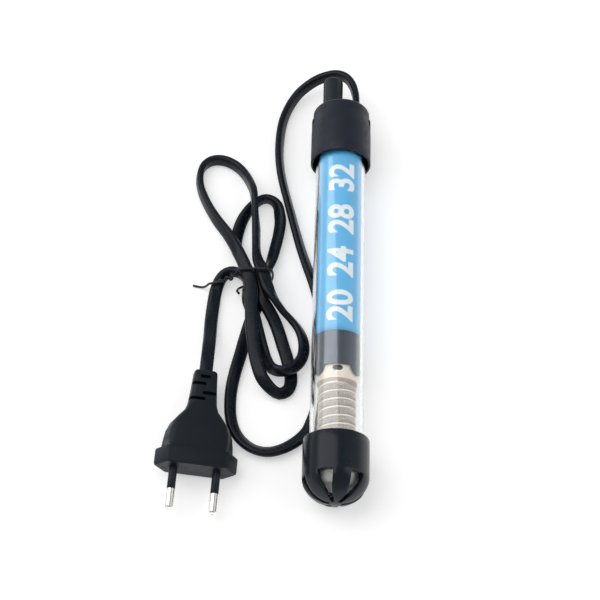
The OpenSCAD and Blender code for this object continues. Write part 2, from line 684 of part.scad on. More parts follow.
// Core that the element is wound on, with a flange at its foot
module ceramic_core() color([0.8, 0.76, 0.7]) difference() {
  on_axis(0) rotate_extrude() polygon([
    [core_bore_r, core_end_y], [winding_r + core_flange_lip, core_end_y],
    [winding_r + core_flange_lip, core_end_y + core_flange_t],
    [core_r, core_end_y + core_flange_t], [core_r, core_head_y], [core_bore_r, core_head_y]
  ]);
  oval_hole();
}

// Path of the winding: a level lead-in, the turns and a level lead-out
winding_path = let (
  steps = wire_turns * wire_rings,
  turn = [for (k = [0 : steps]) let (a = 180 + 360 * k / wire_rings) [
    wire_path_r * sin(a), wire_foot_y + wire_pitch * k / wire_rings,
    axis_z + wire_path_r * cos(a)]],
  lead = terminal_x - terminal_t / 2
) concat([turn[0] + [lead, 0, 0]], turn, [turn[steps] - [lead, 0, 0]]);
module heating_wire() color([0.62, 0.58, 0.55]) {
  half_turn = wire_rings / 2;
  echo(winding_gap_mm = min([for (i = [0 : wire_rings], k = [half_turn : 3 * half_turn])
    norm(winding_path[i] - winding_path[i + k])]) - wire_d);
  swept(winding_path, round_profile(wire_r, wire_sides));
}

// Terminal blocks at the winding's two ends
module element_terminals() color([0.8, 0.8, 0.82]) {
  for (p = [[terminal_x, wire_foot_y], [-terminal_x, wire_head_y]])
    translate([p[0], p[1], axis_z - wire_path_r])
      cube([terminal_t, terminal_w, terminal_h], center = true);
}

// Disc that centres the foot of the core in the glass
module mica_disc() color([0.75, 0.72, 0.62])
  ring(core_end_y - mica_t - seat_gap, mica_t, bore_r - fit_gap, core_bore_r);

// Pad of white fibre in the round end of the glass
module fibre_pad() color([0.93, 0.93, 0.92]) {
  top = core_end_y - mica_t - 2 * seat_gap;
  on_axis(dome_y) rotate_extrude() intersection() {
    circle(r = bore_r - pad_gap);
    translate([0, top - dome_y - pad_len]) square([bore_r, pad_len]);
  }
}

// ---------------------------------------------------------------- thermostat

// Board along the tube
module thermostat_board() color([0.55, 0.4, 0.25]) axis_box(-board_w / 2, board_w / 2, board_y,
  board_end_y, board_top - board_t, board_top);

// Two discs that centre the board in the label sleeve
module support_discs() color([0.78, 0.74, 0.64]) for (y = [foot_disc_y, head_disc_y])
  difference() {
    on_axis(y) cylinder(h = disc_t, r = label_in_r - sleeve_gap);
    axis_box(-board_w / 2 - disc_gap, board_w / 2 + disc_gap, y - past, y + disc_t + past,
      board_top - board_t - disc_gap, board_top + disc_gap);
    axis_box(-disc_horn_x, disc_horn_x, y - past, y + disc_t + past, board_top, 2 * label_r);
    axis_box(neutral_x - notch_side, board_w / 2, y - past, y + disc_t + past,
      under_z - wire_lead_r - notch_room, board_top);
  }

// A piece of the thermostat as wide as its strip, between two stations and two heights
module strip_box(y0, y1, z0, z1) axis_box(knob_x - strip_w / 2, knob_x + strip_w / 2, y0, y1,
  z0, z1);

// Post that carries the bimetal strip
module bimetal_post() color([0.75, 0.76, 0.78])
  strip_box(pivot_y - pivot_gap - post_len, pivot_y - pivot_gap, board_top, strip_z + bimetal_t);

// Bimetal strip with a rounded foot that it turns about, free at its contact end
module bimetal_strip() color([0.7, 0.62, 0.5]) {
  strip_box(pivot_y, arm_tip_y, strip_z, strip_z + bimetal_t);
  translate([knob_x - strip_w / 2, pivot_y, axis_z + strip_z + bimetal_t / 2])
    rotate([0, 90, 0]) cylinder(h = strip_w, d = bimetal_t, $fn = 32);
}

// Iron plate on the strip's end, over the magnet
module armature() color([0.6, 0.6, 0.62]) axis_box(knob_x - strip_w / 2, magnet_x + magnet_w,
  arm_tip_y - armature_len, arm_tip_y, strip_z + bimetal_t, strip_z + bimetal_t + armature_t);

module contact(z, h) color([0.86, 0.85, 0.8]) translate([knob_x, contact_y, axis_z + z])
  cylinder(h = h, d = contact_d, $fn = 32);
module moving_contact() contact(strip_z - moving_contact_t, moving_contact_t);
module fixed_contact() contact(leaf_z + leaf_t, fixed_contact_t);

// Spring leaf over the screw's cone, and its post
module contact_leaf() color([0.82, 0.64, 0.35])
  strip_box(leaf_foot_y - leaf_foot_len, bush_y - leaf_end_gap, leaf_z, leaf_z + leaf_t);
module leaf_post() color([0.75, 0.76, 0.78])
  strip_box(leaf_foot_y - leaf_foot_len, leaf_foot_y, board_top, leaf_z);

// Magnet beside the contacts, on its post
module magnet_box(z0, z1) axis_box(magnet_x, magnet_x + magnet_w,
  arm_tip_y + magnet_reach - magnet_len, arm_tip_y + magnet_reach, z0, z1);
module magnet() color([0.3, 0.3, 0.33]) magnet_box(magnet_z, magnet_z + magnet_t);
module magnet_post() color([0.75, 0.76, 0.78]) magnet_box(board_top, magnet_z);

// Neon lamp, its resistor and the capacitor
module indicator_lamp() color([0.95, 0.55, 0.35, 0.6]) translate([lamp_x, leaf_foot_y,
  axis_z + board_top + lamp_r + part_gap]) rotate([-90, 0, 0]) rotate_extrude() union() {
    square([lamp_r, lamp_len]);
    translate([0, lamp_len]) intersection() {
      circle(r = lamp_r);
      square(lamp_r);
    }
  }
module lamp_resistor() color([0.75, 0.65, 0.45]) translate([lamp_x, resistor_y,
  axis_z + board_top + resistor_r + seat_gap]) rotate([-90, 0, 0])
    cylinder(h = resistor_len, r = resistor_r, $fn = 32);
module capacitor() color([0.75, 0.5, 0.25]) translate([capacitor_x, capacitor_y,
  axis_z + board_top + seat_gap]) cylinder(h = capacitor_t, r = capacitor_r);

// Wires: live from the lead to the leaf's post, neutral from the lead through the core, and
// from the bimetal post to the winding's head
wire_profile = round_profile(wire_lead_r, 8);
module wire(points) swept([for (p = points) p + [0, 0, axis_z]], wire_profile);
module live_wire() color([0.5, 0.3, 0.15]) wire([
  [cord_x, lead_end_y, conductor_z], [cord_x, lead_end_y - 1, conductor_z],
  [cord_x - 0.2, board_end_y, 1.2],
  [side_wire_x, bush_y, wire_z], [side_wire_x, leaf_foot_y + 2 * lamp_len, wire_z],
  [mid_wire_x, leaf_foot_y + 1.5 * lamp_len, wire_z], [mid_wire_x, leaf_foot_y, wire_z],
  [mid_wire_x - 1, leaf_foot_y - 2, wire_z],
  [knob_x + strip_w / 2 + touch_gap, leaf_foot_y - 2, wire_z]]);
module neutral_wire() color([0.2, 0.4, 0.7]) wire([
  [cord_x, lead_end_y, -conductor_z], [cord_x, lead_end_y - 1, -conductor_z],
  [cord_x - 0.6, board_end_y + 0.6, under_z],
  [neutral_x, head_disc_y - 10, under_z], [neutral_x, board_y, under_z],
  [0, cream_top_y + 1.6, 0], [0, cream_top_y - 1.5, 0], [0, core_end_y + 0.3, 0]]);
module element_wire() color([0.5, 0.3, 0.15]) wire([
  [knob_x, pivot_y - pivot_gap - post_len, wire_z], [knob_x, board_y - 2, wire_z],
  [-terminal_x, cream_top_y + 0.8, -wire_path_r], [-terminal_x, cream_top_y - 1, -wire_path_r],
  [-terminal_x, wire_head_y + terminal_w / 2 + touch_gap, -wire_path_r]]);

// Rivets that hold the leaf and the bimetal's foot
module rivets() color([0.82, 0.8, 0.74]) {
  rows = [[leaf_foot_y - leaf_foot_len / 2, leaf_z + leaf_t],
    [pivot_y - pivot_gap - post_len / 2, strip_z + bimetal_t]];
  for (row = rows, side = [-1, 1])
    translate([knob_x, row[0] + side * rivet_step, axis_z + row[1]])
      cylinder(h = rivet_h, r = rivet_r, $fn = 24);
}

// ---------------------------------------------------------------- lead, plug and tie

// Centre of the neck's end, where the lead goes in
plug_back = [sin(-plug_yaw), cos(-plug_yaw), 0];
neck_end = plug_pos + plug_len * plug_back;
neck_out = neck_end + straight_end * plug_back;
cord_path = concat(cord_route, [for (p = [neck_out, neck_end]) [p[0], p[1], p[2], 180 + plug_roll]]);
module power_cord() color([0.1, 0.11, 0.13]) {
  echo(least_gap_mm = least_gap(core_lines(cord_path)));
  swept(cord_path, flat_profile(cord_w, cord_t));
}

// Places what is drawn with its face at 0 and its pins towards -Y
module at_plug() translate(plug_pos) rotate([0, plug_roll, plug_yaw]) children();

// Half of the plug's outline, from its face back to its neck: distance and half width
function plug_side() = let (w = plug_w / 2, k = plug_len / 46) [
  [0, w - 1], [1 * k, w], [flange_len - 0.8, w], [flange_len, w - 2.2], [12 * k, w - 2.5],
  [16 * k, w - 3.2], [20 * k, w - 4.9], [23.5 * k, w - 7.7], [26.5 * k, w - 10.5],
  [30 * k, neck_w / 2 + 1.2], [36 * k, neck_w / 2 + 0.6], [plug_len, neck_w / 2]
];
function plug_height() = let (h = plug_h / 2, k = plug_len / 46) [
  [0, h - 0.5], [0.5, h], [flange_len, h - 0.1], [18 * k, h - 0.8],
  [27 * k, h - 1.6], [plug_len, h - 2.4]
];
function both_sides(half) = concat([for (p = half) [p[1], p[0]]],
  [for (i = [len(half) - 1 : -1 : 0]) [-half[i][1], half[i][0]]]);

// The neck's slots: distance from the face, middle and half width
slot_marks = [[42.7, 0, 2.2], [39.2, -2.9, 3.4], [34.7, 2.6, 3.2], [31.8, -2.8, 3.6]];
slot_w = 1.6;
slot_floor = 2.2;

// Moulded plug with sloping ends and staggered slots in its neck
module plug_body() color([0.1, 0.11, 0.13]) at_plug() difference() {
  intersection() {
    translate([0, 0, -plug_h / 2]) linear_extrude(plug_h) polygon(both_sides(plug_side()));
    rotate([0, -90, 0]) translate([0, 0, -plug_w / 2]) linear_extrude(plug_w)
      polygon(both_sides(plug_height()));
    rotate([-90, 0, 0]) linear_extrude(plug_len) polygon([
      [plug_w / 2, 0], [plug_flat_w / 2, plug_h / 2], [-plug_flat_w / 2, plug_h / 2],
      [-plug_w / 2, 0], [-plug_flat_w / 2, -plug_h / 2], [plug_flat_w / 2, -plug_h / 2]]);
  }
  for (m = slot_marks, up = [-1, 1])
    translate([m[1], m[0] * plug_len / 46, up * (slot_floor + plug_h / 2)])
      cube([2 * m[2], slot_w, plug_h], center = true);
  for (side = [-1, 1]) translate([side * pin_pitch / 2, root_len, 0]) rotate([90, 0, 0])
    cylinder(h = root_len + past, r = root_r);
}

// Two round pins with rounded tips and thick roots, necked for their insulation
module plug_pins() color([0.85, 0.85, 0.83]) at_plug() for (side = [-1, 1])
  translate([side * pin_pitch / 2, 0, 0]) rotate([90, 0, 0]) rotate_extrude() polygon([
    [0, -root_len], [root_r, -root_len], [root_r, 0], [neck_r, 0], [neck_r, sleeve_len],
    [pin_r, sleeve_len], [pin_r, pin_len - tip_len], [pin_r - tip_side, pin_len - tip_side],
    [pin_r - tip_inset, pin_len], [0, pin_len]
  ]);

// Insulation on the pins' roots
module pin_sleeves() color([0.08, 0.08, 0.09]) at_plug() for (side = [-1, 1])
  translate([side * pin_pitch / 2, 0, 0]) rotate([90, 0, 0]) difference() {
    cylinder(h = sleeve_len, r = pin_r - sleeve_step);
    translate([0, 0, -past]) cylinder(h = sleeve_len + 2 * past, r = neck_r);
  }

module twist_tie() color([0.05, 0.05, 0.06]) swept(tie_route, round_profile(tie_d / 2, 8));

glass_tube();
foot_guard();
head_cap();
snap_collar();
rubber_stopper();
cord_grommet();
inner_cord();
adjuster_knob();
adjuster_spindle();
spindle_seal();
adjusting_screw();
screw_bush();
screw_bracket();
label_sleeve();
heat_shield();
ceramic_collar();
ceramic_core();
heating_wire();
element_terminals();
mica_disc();
fibre_pad();
thermostat_board();
support_discs();
bimetal_post();
bimetal_strip();
armature();
moving_contact();
contact_leaf();
fixed_contact();
leaf_post();
magnet();
magnet_post();
indicator_lamp();
lamp_resistor();
capacitor();
live_wire();
neutral_wire();
element_wire();
rivets();
power_cord();
plug_body();
plug_pins();
pin_sleeves();
twist_tie();
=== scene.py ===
"""Submersible aquarium heater: detailed pieces, materials, floor, lights and camera."""

import math

import bmesh
import bpy
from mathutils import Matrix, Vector


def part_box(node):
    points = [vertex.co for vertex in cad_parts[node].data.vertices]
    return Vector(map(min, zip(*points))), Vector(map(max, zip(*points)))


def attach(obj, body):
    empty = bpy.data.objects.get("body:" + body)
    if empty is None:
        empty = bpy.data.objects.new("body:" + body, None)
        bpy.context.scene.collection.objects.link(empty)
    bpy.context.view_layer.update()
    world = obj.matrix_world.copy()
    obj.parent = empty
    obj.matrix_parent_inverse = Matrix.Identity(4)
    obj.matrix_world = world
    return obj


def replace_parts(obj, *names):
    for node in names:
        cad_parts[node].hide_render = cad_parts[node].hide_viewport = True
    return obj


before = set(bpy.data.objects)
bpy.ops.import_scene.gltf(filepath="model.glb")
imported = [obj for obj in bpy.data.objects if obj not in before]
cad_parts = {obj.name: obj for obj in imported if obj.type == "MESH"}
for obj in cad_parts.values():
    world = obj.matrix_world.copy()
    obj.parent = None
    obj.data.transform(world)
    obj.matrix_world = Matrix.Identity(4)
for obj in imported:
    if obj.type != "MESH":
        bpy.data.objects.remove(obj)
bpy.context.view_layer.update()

MM = 0.001
UP = Vector((0, 0, 1))


def placed(name, data):
    """A new object in the scene."""
    thing = bpy.data.objects.new(name, data)
    bpy.context.scene.collection.objects.link(thing)
    return thing


def box_mm(node):
    """A node's lowest and highest corners in millimetres."""
    low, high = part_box(node)
    return Vector(low) / MM, Vector(high) / MM


# ---------------------------------------------------------------- sizes, in millimetres

glass_low, glass_high = box_mm("glass_tube")
guard_low, guard_high = box_mm("foot_guard")
cap_low, cap_high = box_mm("head_cap")
knob_low, knob_high = box_mm("adjuster_knob")
grommet_low, grommet_high = box_mm("cord_grommet")
label_low, label_high = box_mm("label_sleeve")

glass_r = glass_high.x
glass_wall = 1.55
axis_z = glass_high.z - glass_r
guard_r = guard_high.x
guard_wall = 2.0
cap_r = cap_high.x
cap_step = 0.7
cap_top_r = cap_r - cap_step
cap_wall = 1.0
label_r = label_high.x
knob_x = (knob_low.x + knob_high.x) / 2
knob_r = (knob_high.x - knob_low.x) / 2
cord_x = (grommet_low.x + grommet_high.x) / 2
cord_w = 6.0
cord_t = 3.2
fit_gap = 0.15

# Radii of the points that stand for a centre, so that no face shrinks to nothing
NEAR_AXIS = 0.001
FACE_CENTRE = 0.01

# ---------------------------------------------------------------- camera

CAMERA_TARGET = Vector((-0.01747, -0.00412, 0))
CAMERA_AZIMUTH = math.radians(1.48)
CAMERA_ELEVATION = math.radians(60.71)
CAMERA_DISTANCE = 0.73211
LENS = 95.61


def make_camera():
    """Camera on the photograph's line of sight."""
    back = Vector((
        math.sin(CAMERA_AZIMUTH) * math.cos(CAMERA_ELEVATION),
        -math.cos(CAMERA_AZIMUTH) * math.cos(CAMERA_ELEVATION),
        math.sin(CAMERA_ELEVATION),
    ))
    data = bpy.data.cameras.new("camera")
    data.lens = LENS
    data.sensor_width = 36
    data.clip_start = 0.01
    data.clip_end = 20
    camera = placed("camera", data)
    camera.location = CAMERA_TARGET + CAMERA_DISTANCE * back
    camera.rotation_euler = back.to_track_quat("Z", "Y").to_euler()
    bpy.context.scene.camera = camera


# ---------------------------------------------------------------- materials


def srgb(red, green, blue):
    """A display colour of 0 to 255 as linear values."""
    def linear(value):
        value /= 255
        return value / 12.92 if value <= 0.04045 else ((value + 0.055) / 1.055) ** 2.4
    return (linear(red), linear(green), linear(blue), 1)


def scaled(colour, factor):
    """A colour made lighter or darker."""
    return tuple(min(1, c * factor) for c in colour[:3]) + (1,)


class Surface:
    """A Principled material whose colour, roughness and bump vary by noise."""

    def __init__(self, name, roughness, **sockets):
        self.material = bpy.data.materials.new(name)
        self.material.use_nodes = True
        self.nodes = self.material.node_tree.nodes
        self.links = self.material.node_tree.links
        self.shader = self.nodes["Principled BSDF"]
        self.output = self.nodes["Material Output"]
        self.place = self.nodes.new("ShaderNodeTexCoord").outputs["Object"]
        self.shader.inputs["Roughness"].default_value = roughness
        self.bump = None
        for socket, value in sockets.items():
            self.shader.inputs[socket.replace("_", " ")].default_value = value

    def noise(self, size, detail=4, stretch=(1, 1, 1)):
        """Noise with features of about this many millimetres, stretched along the axes."""
        mapping = self.nodes.new("ShaderNodeMapping")
        mapping.inputs["Scale"].default_value = stretch
        self.links.new(self.place, mapping.inputs["Vector"])
        noise = self.nodes.new("ShaderNodeTexNoise")
        noise.inputs["Scale"].default_value = 1 / (size * MM)
        noise.inputs["Detail"].default_value = detail
        self.links.new(mapping.outputs["Vector"], noise.inputs["Vector"])
        return noise.outputs["Fac"]

    def ramp(self, factor, stops):
        """A colour ramp over the factor, from (place, colour) pairs."""
        ramp = self.nodes.new("ShaderNodeValToRGB")
        elements = ramp.color_ramp.elements
        while len(elements) < len(stops):
            elements.new(0.5)
        for element, (place, colour) in zip(elements, stops):
            element.position = place
            element.color = colour
        self.links.new(factor, ramp.inputs["Fac"])
        return ramp.outputs["Color"]

    def colour(self, base, spread, size, stretch=(1, 1, 1)):
        """The base colour, a little darker and lighter from place to place."""
        stops = [(0.3, scaled(base, 1 - spread)), (0.7, scaled(base, 1 + spread))]
        colour = self.ramp(self.noise(size, stretch=stretch), stops)
        self.links.new(colour, self.shader.inputs["Base Color"])
        return self

    def mix(self, factor, colour):
        """Lays another colour over the base colour where the factor is 1."""
        below = self.shader.inputs["Base Color"].links[0].from_socket
        mix = self.nodes.new("ShaderNodeMix")
        mix.data_type = "RGBA"
        self.links.new(factor, mix.inputs["Factor"])
        self.links.new(below, mix.inputs["A"])
        mix.inputs["B"].default_value = colour
        self.links.new(mix.outputs["Result"], self.shader.inputs["Base Color"])
        return self

    def between(self, value, start, end, low=0.0, high=1.0):
        """The value's stretch from start to end, as low to high."""
        spread = self.nodes.new("ShaderNodeMapRange")
        for socket, limit in zip(("From Min", "From Max", "To Min", "To Max"), (start, end, low, high)):
            spread.inputs[socket].default_value = limit
        self.links.new(value, spread.inputs["Value"])
        return spread.outputs["Result"]

    def rough(self, low, high, size, stretch=(1, 1, 1)):
        """Roughness that varies between two values."""
        spread = self.between(self.noise(size, stretch=stretch), 0.3, 0.7, low, high)
        self.links.new(spread, self.shader.inputs["Roughness"])
        return self

    def relief(self, height, distance):
        """Adds a bump of this height, in millimetres, from a factor."""
        bump = self.nodes.new("ShaderNodeBump")
        bump.inputs["Distance"].default_value = distance * MM
        self.links.new(height, bump.inputs["Height"])
        if self.bump:
            self.links.new(self.bump, bump.inputs["Normal"])
        self.bump = bump.outputs["Normal"]
        self.links.new(self.bump, self.shader.inputs["Normal"])
        return self

    def worn_edges(self, colour, start, end):
        """A lighter colour along convex edges."""
        edges = self.nodes.new("ShaderNodeNewGeometry").outputs["Pointiness"]
        return self.mix(self.between(edges, start, end), colour)

    def painted_recess_shade(self, colour, reach, start=0.5, end=0.8):
        """Painted shade: another colour in holes narrower than the reach, in millimetres, where shade
        falls.
        """
        # Painted shade: ambient occlusion darkens the colour in narrow holes and recesses
        shade = self.nodes.new("ShaderNodeAmbientOcclusion")
        shade.inputs["Distance"].default_value = reach * MM
        shade.only_local = True
        white, black = (1, 1, 1, 1), (0, 0, 0, 1)
        return self.mix(self.ramp(shade.outputs["AO"], [(start, white), (end, black)]), colour)


def glass_material():
    """Clear glass that lets light through to what is inside."""
    surface = Surface("clear_glass", 0.0, IOR=1.47, Transmission_Weight=1.0, Specular_IOR_Level=0.2,
                      Coat_Weight=0.45, Coat_Roughness=0.14)
    surface.shader.inputs["Base Color"].default_value = (0.985, 0.995, 0.995, 1)
    surface.rough(0.0, 0.012, size=14)
    surface.relief(surface.noise(60, detail=1, stretch=(1, 0.3, 1)), 0.006)
    clear = surface.nodes.new("ShaderNodeBsdfTransparent")
    clear.inputs["Color"].default_value = (0.93, 0.95, 0.95, 1)
    path = surface.nodes.new("ShaderNodeLightPath")
    mix = surface.nodes.new("ShaderNodeMixShader")
    surface.links.new(path.outputs["Is Shadow Ray"], mix.inputs["Fac"])
    surface.links.new(surface.shader.outputs["BSDF"], mix.inputs[1])
    surface.links.new(clear.outputs["BSDF"], mix.inputs[2])
    surface.links.new(mix.outputs["Shader"], surface.output.inputs["Surface"])
    return surface.material


def plastic(name, base, low, high, grain, depth, spread=0.1, shine=0.5):
    """Moulded plastic with a fine grain."""
    surface = Surface(name, (low + high) / 2, Specular_IOR_Level=shine)
    surface.colour(base, spread, size=9).rough(low, high, size=2.5)
    surface.worn_edges(scaled(base, 1.7), 0.56, 0.66)
    return surface.relief(surface.noise(grain), depth).material


def metal(name, base, low, high, stretch=(1, 0.08, 1)):
    """Metal with fine drawn lines."""
    surface = Surface(name, (low + high) / 2, Metallic=1.0)
    surface.colour(base, 0.08, size=2, stretch=stretch).rough(low, high, 0.8, stretch)
    return surface.relief(surface.noise(0.25, stretch=stretch), 0.01).material


def ceramic(name, base, low, high, speck):
    """Fired ceramic with specks, a granular face and painted shade in its holes."""
    surface = Surface(name, (low + high) / 2)
    surface.colour(base, 0.06, size=3).rough(low, high, 1.2)
    dots = surface.ramp(surface.noise(0.5), [(0.62, (0, 0, 0, 1)), (0.72, (1, 1, 1, 1))])
    surface.mix(dots, speck)
    # Painted shade: a near-black colour laid in the ceramic's holes and narrow recesses
    surface.painted_recess_shade(srgb(34, 32, 31), 3)
    return surface.relief(surface.noise(0.3), 0.03).material


def make_materials():
    """One material for each kind of surface, by the record's slots."""
    cord = Surface("soft_black_cord", 0.3, Specular_IOR_Level=0.22)
    cord.colour(srgb(18, 24, 32), 0.12, size=12).rough(0.22, 0.34, 2)
    cord.relief(cord.noise(2.2, detail=2), 0.05).relief(cord.noise(0.18), 0.012)
    label = Surface("printed_label", 0.38)
    label.colour(srgb(96, 190, 241), 0.05, size=10).rough(0.32, 0.46, 4)
    label.relief(label.noise(5, detail=2, stretch=(1, 0.5, 1)), 0.04).relief(label.noise(0.12), 0.006)
    digits = Surface("label_white", 0.4)
    digits.colour(srgb(246, 250, 253), 0.03, size=1.2).rough(0.34, 0.48, 1)
    digits.relief(digits.noise(0.15), 0.006)
    dots = Surface("label_dots", 0.5)
    dots.colour(srgb(48, 92, 128), 0.15, size=0.6).rough(0.4, 0.6, 0.5)
    shield = Surface("dark_shield", 0.3, Metallic=0.85)
    shield.colour(srgb(88, 95, 108), 0.03, size=8, stretch=(1, 0.25, 1)).rough(0.3, 0.38, 6)
    shield.relief(shield.noise(0.4, stretch=(1, 0.1, 1)), 0.004)
    winding = Surface("resistance_wire", 0.42, Metallic=0.2)
    winding.colour(srgb(222, 212, 204), 0.16, size=0.9).rough(0.36, 0.52, 0.6)
    winding.relief(winding.noise(0.15), 0.01)
    fibre = Surface("white_fibre", 0.95, Sheen_Weight=0.3)
    fibre.colour(srgb(236, 235, 230), 0.05, size=1.5).rough(0.88, 1.0, 0.8)
    fibre.relief(fibre.noise(0.5), 0.35)
    board = Surface("laminate_board", 0.6)
    board.colour(srgb(140, 104, 62), 0.12, size=1.2, stretch=(1, 0.2, 1)).rough(0.5, 0.7, 1)
    board.relief(board.noise(0.4, stretch=(1, 0.3, 1)), 0.04)
    lamp = Surface("lamp_glass", 0.05, Transmission_Weight=0.7, IOR=1.45)
    lamp.colour(srgb(240, 150, 96), 0.08, size=2).rough(0.02, 0.1, 1.5)
    lamp.relief(lamp.noise(1.5), 0.02)
    return {
        "glass": glass_material(),
        "guard_plastic": plastic("blue_black_guard", srgb(20, 28, 38), 0.2, 0.3, 0.6, 0.008, shine=0.28),
        "cap_plastic": plastic("dark_grey_cap", srgb(29, 35, 47), 0.4, 0.54, 0.35, 0.03, shine=0.3),
        "knob_plastic": plastic("black_knob", srgb(27, 33, 42), 0.36, 0.5, 0.4, 0.02, shine=0.35),
        "plug_pvc": plastic("black_plug", srgb(17, 25, 34), 0.34, 0.48, 0.5, 0.02, shine=0.25),
        "rubber_black": plastic("black_rubber", srgb(20, 23, 28), 0.55, 0.7, 0.5, 0.03, shine=0.3),
        "cord_pvc": cord.material,
        "label_paper": label.material,
        "label_white": digits.material,
        "label_dots": dots.material,
        "shield_metal": shield.material,
        "cream_ceramic": ceramic("cream_collar", srgb(246, 234, 220), 0.36, 0.52, srgb(224, 208, 188)),
        "core_ceramic": ceramic("pale_core", srgb(250, 244, 238), 0.5, 0.7, srgb(226, 216, 206)),
        "element_wire": winding.material,
        "mica": ceramic("mica", srgb(190, 182, 160), 0.25, 0.4, srgb(160, 150, 125)),
        "fibre": fibre.material,
        "board": board.material,
        "bimetal": metal("bimetal", srgb(186, 160, 128), 0.3, 0.45),
        "iron": metal("iron", srgb(140, 140, 145), 0.4, 0.55),
        "contact_silver": metal("contact_silver", srgb(225, 225, 220), 0.2, 0.35),
        "leaf_bronze": metal("leaf_bronze", srgb(214, 172, 104), 0.25, 0.4),
        "magnet": metal("magnet", srgb(90, 90, 96), 0.4, 0.6),
        "lamp_glass": lamp.material,
        "resistor": ceramic("resistor", srgb(196, 166, 118), 0.35, 0.5, srgb(120, 70, 50)),
        "capacitor": ceramic("capacitor", srgb(190, 120, 60), 0.3, 0.45, srgb(150, 90, 40)),
        "brown_wire": plastic("brown_wire", srgb(116, 70, 38), 0.35, 0.5, 0.4, 0.02),
        "blue_wire": plastic("blue_wire", srgb(52, 96, 170), 0.35, 0.5, 0.4, 0.02),
        "brass": metal("brass", srgb(216, 184, 102), 0.22, 0.38),
        "plated_steel": metal("plated_steel", srgb(190, 193, 198), 0.25, 0.4),
        "pin_metal": metal("plated_pin", srgb(250, 248, 242), 0.2, 0.32),
        "tie": plastic("black_tie", srgb(24, 25, 29), 0.3, 0.45, 0.3, 0.015),
    }


# ---------------------------------------------------------------- mesh tools


def mesh_object(name, points, faces, slot, material=None, sharp=40, body="heater"):
    """A piece from points in millimetres, smooth but for edges over the sharp angle."""
    mesh = bpy.data.meshes.new(name)
    mesh.from_pydata([Vector(p) * MM for p in points], [], faces)
    work = bmesh.new()
    work.from_mesh(mesh)
    bmesh.ops.remove_doubles(work, verts=work.verts, dist=1e-7)
    bmesh.ops.recalc_face_normals(work, faces=work.faces)
    work.to_mesh(mesh)
    work.free()
    mesh.polygons.foreach_set("use_smooth", [True] * len(mesh.polygons))
    mesh.set_sharp_from_angle(angle=math.radians(sharp))
    mesh.materials.append(materials[material or slot])
    piece = placed(name, mesh)
    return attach(piece, body) or piece


def add_solidify(piece, thickness):
    """Gives a shell a wall inward from its face."""
    wall = piece.modifiers.new("wall", "SOLIDIFY")
    wall.thickness = thickness * MM
    wall.offset = -1
    wall.use_even_offset = True


def add_bevel(piece, width, angle):
    """Rounds a piece's edges that are sharper than the angle."""
    bevel = piece.modifiers.new("edges", "BEVEL")
    bevel.width = width * MM
    bevel.segments = 2
    bevel.limit_method = "ANGLE"
    bevel.angle_limit = math.radians(angle)


def round_axis(radius, y, turn, x=0.0):
    """A place on a circle about a line along Y. A turn of 0 is the top."""
    return (x + radius * math.sin(turn), y, axis_z + radius * math.cos(turn))


def ring_faces(rings, columns, closed=False, is_open=None):
    """Faces between rings of points, but for the cells that are left open."""
    faces = []
    for i in range(rings if closed else rings - 1):
        here = i * columns
        there = (i + 1) % rings * columns
        for k in range(columns):
            after = (k + 1) % columns
            if not (is_open and is_open(i, k)):
                faces.append((here + k, here + after, there + after, there + k))
    return faces


def revolved(profile, segments, x=0.0, closed=False):
    """Points and faces of a profile of (radius, y) turned about a line along Y."""
    turns = [2 * math.pi * k / segments for k in range(segments)]
    points = [round_axis(radius, y, turn, x) for radius, y in profile for turn in turns]
    return points, clean_faces(points, ring_faces(len(profile), segments, closed))


def clean_faces(points, faces):
    """Faces without corners that stand at one place."""
    kept = []
    for face in faces:
        corners = []
        for index in face:
            place = Vector(points[index])
            if all((place - Vector(points[other])).length > 1e-5 for other in corners):
                corners.append(index)
        if len(corners) > 2:
            kept.append(tuple(corners))
    return kept


def arc(centre_r, centre_y, radius, start, end, steps):
    """Points of a profile's arc; the angle is measured from the radial direction."""
    result = []
    for k in range(steps + 1):
        turn = math.radians(start + (end - start) * k / steps)
        result.append((centre_r + radius * math.cos(turn), centre_y + radius * math.sin(turn)))
    return result


def smooth_path(points, spacing):
    """Points along a Catmull-Rom curve through the points, this far apart."""
    size = len(points[0])
    points = [tuple(p) for p in points]
    first = tuple(2 * points[0][c] - points[1][c] for c in range(size))
    last = tuple(2 * points[-1][c] - points[-2][c] for c in range(size))
    padded = [first] + points + [last]
    result = []
    for i in range(1, len(padded) - 2):
        a, b, c, d = padded[i - 1:i + 3]
        steps = max(1, round(math.dist(b[:3], c[:3]) / spacing))
        for k in range(steps):
            t = k / steps
            result.append(tuple(
                0.5 * (2 * b[n] + (c[n] - a[n]) * t
                       + (2 * a[n] - 5 * b[n] + 4 * c[n] - d[n]) * t * t
                       + (3 * b[n] - a[n] - 3 * c[n] + d[n]) * t ** 3)
                for n in range(size)))
    result.append(points[-1])
    return result


def directions(points):
    """The way along the path at each point."""
    result = []
    for i in range(len(points)):
        before = Vector(points[max(i - 1, 0)][:3])
        after = Vector(points[min(i + 1, len(points) - 1)][:3])
        result.append((after - before).normalized())
    return result


def level_frames(path):
    """Width and thickness directions of a flat lead, turned by each point's roll."""
    frames = []
    for point, along in zip(path, directions(path)):
        level = along.cross(UP).normalized()
        raised = level.cross(along)
        roll = math.radians(point[3])
        wide = level * math.cos(roll) + raised * math.sin(roll)
        frames.append((wide, raised * math.cos(roll) - level * math.sin(roll)))
    return frames


def carried_frames(path):
    """Two directions across the path that turn as little as possible along it."""
    along = directions(path)
    side = along[0].cross(UP if abs(along[0].z) < 0.9 else Vector((1, 0, 0))).normalized()
    frames = []
    for way in along:
        side = (side - way * side.dot(way)).normalized()
        frames.append((side, way.cross(side)))
    return frames


def swept(path, profile, frames):
    """Points and faces of a closed profile carried along a path, with flat ends."""
    count = len(profile)
    points = []
    for point, (wide, thick) in zip(path, frames):
        centre = Vector(point[:3])
        points += [centre + wide * a + thick * b for a, b in profile]
    return points, ring_faces(len(path), count) + end_faces(len(path), count)


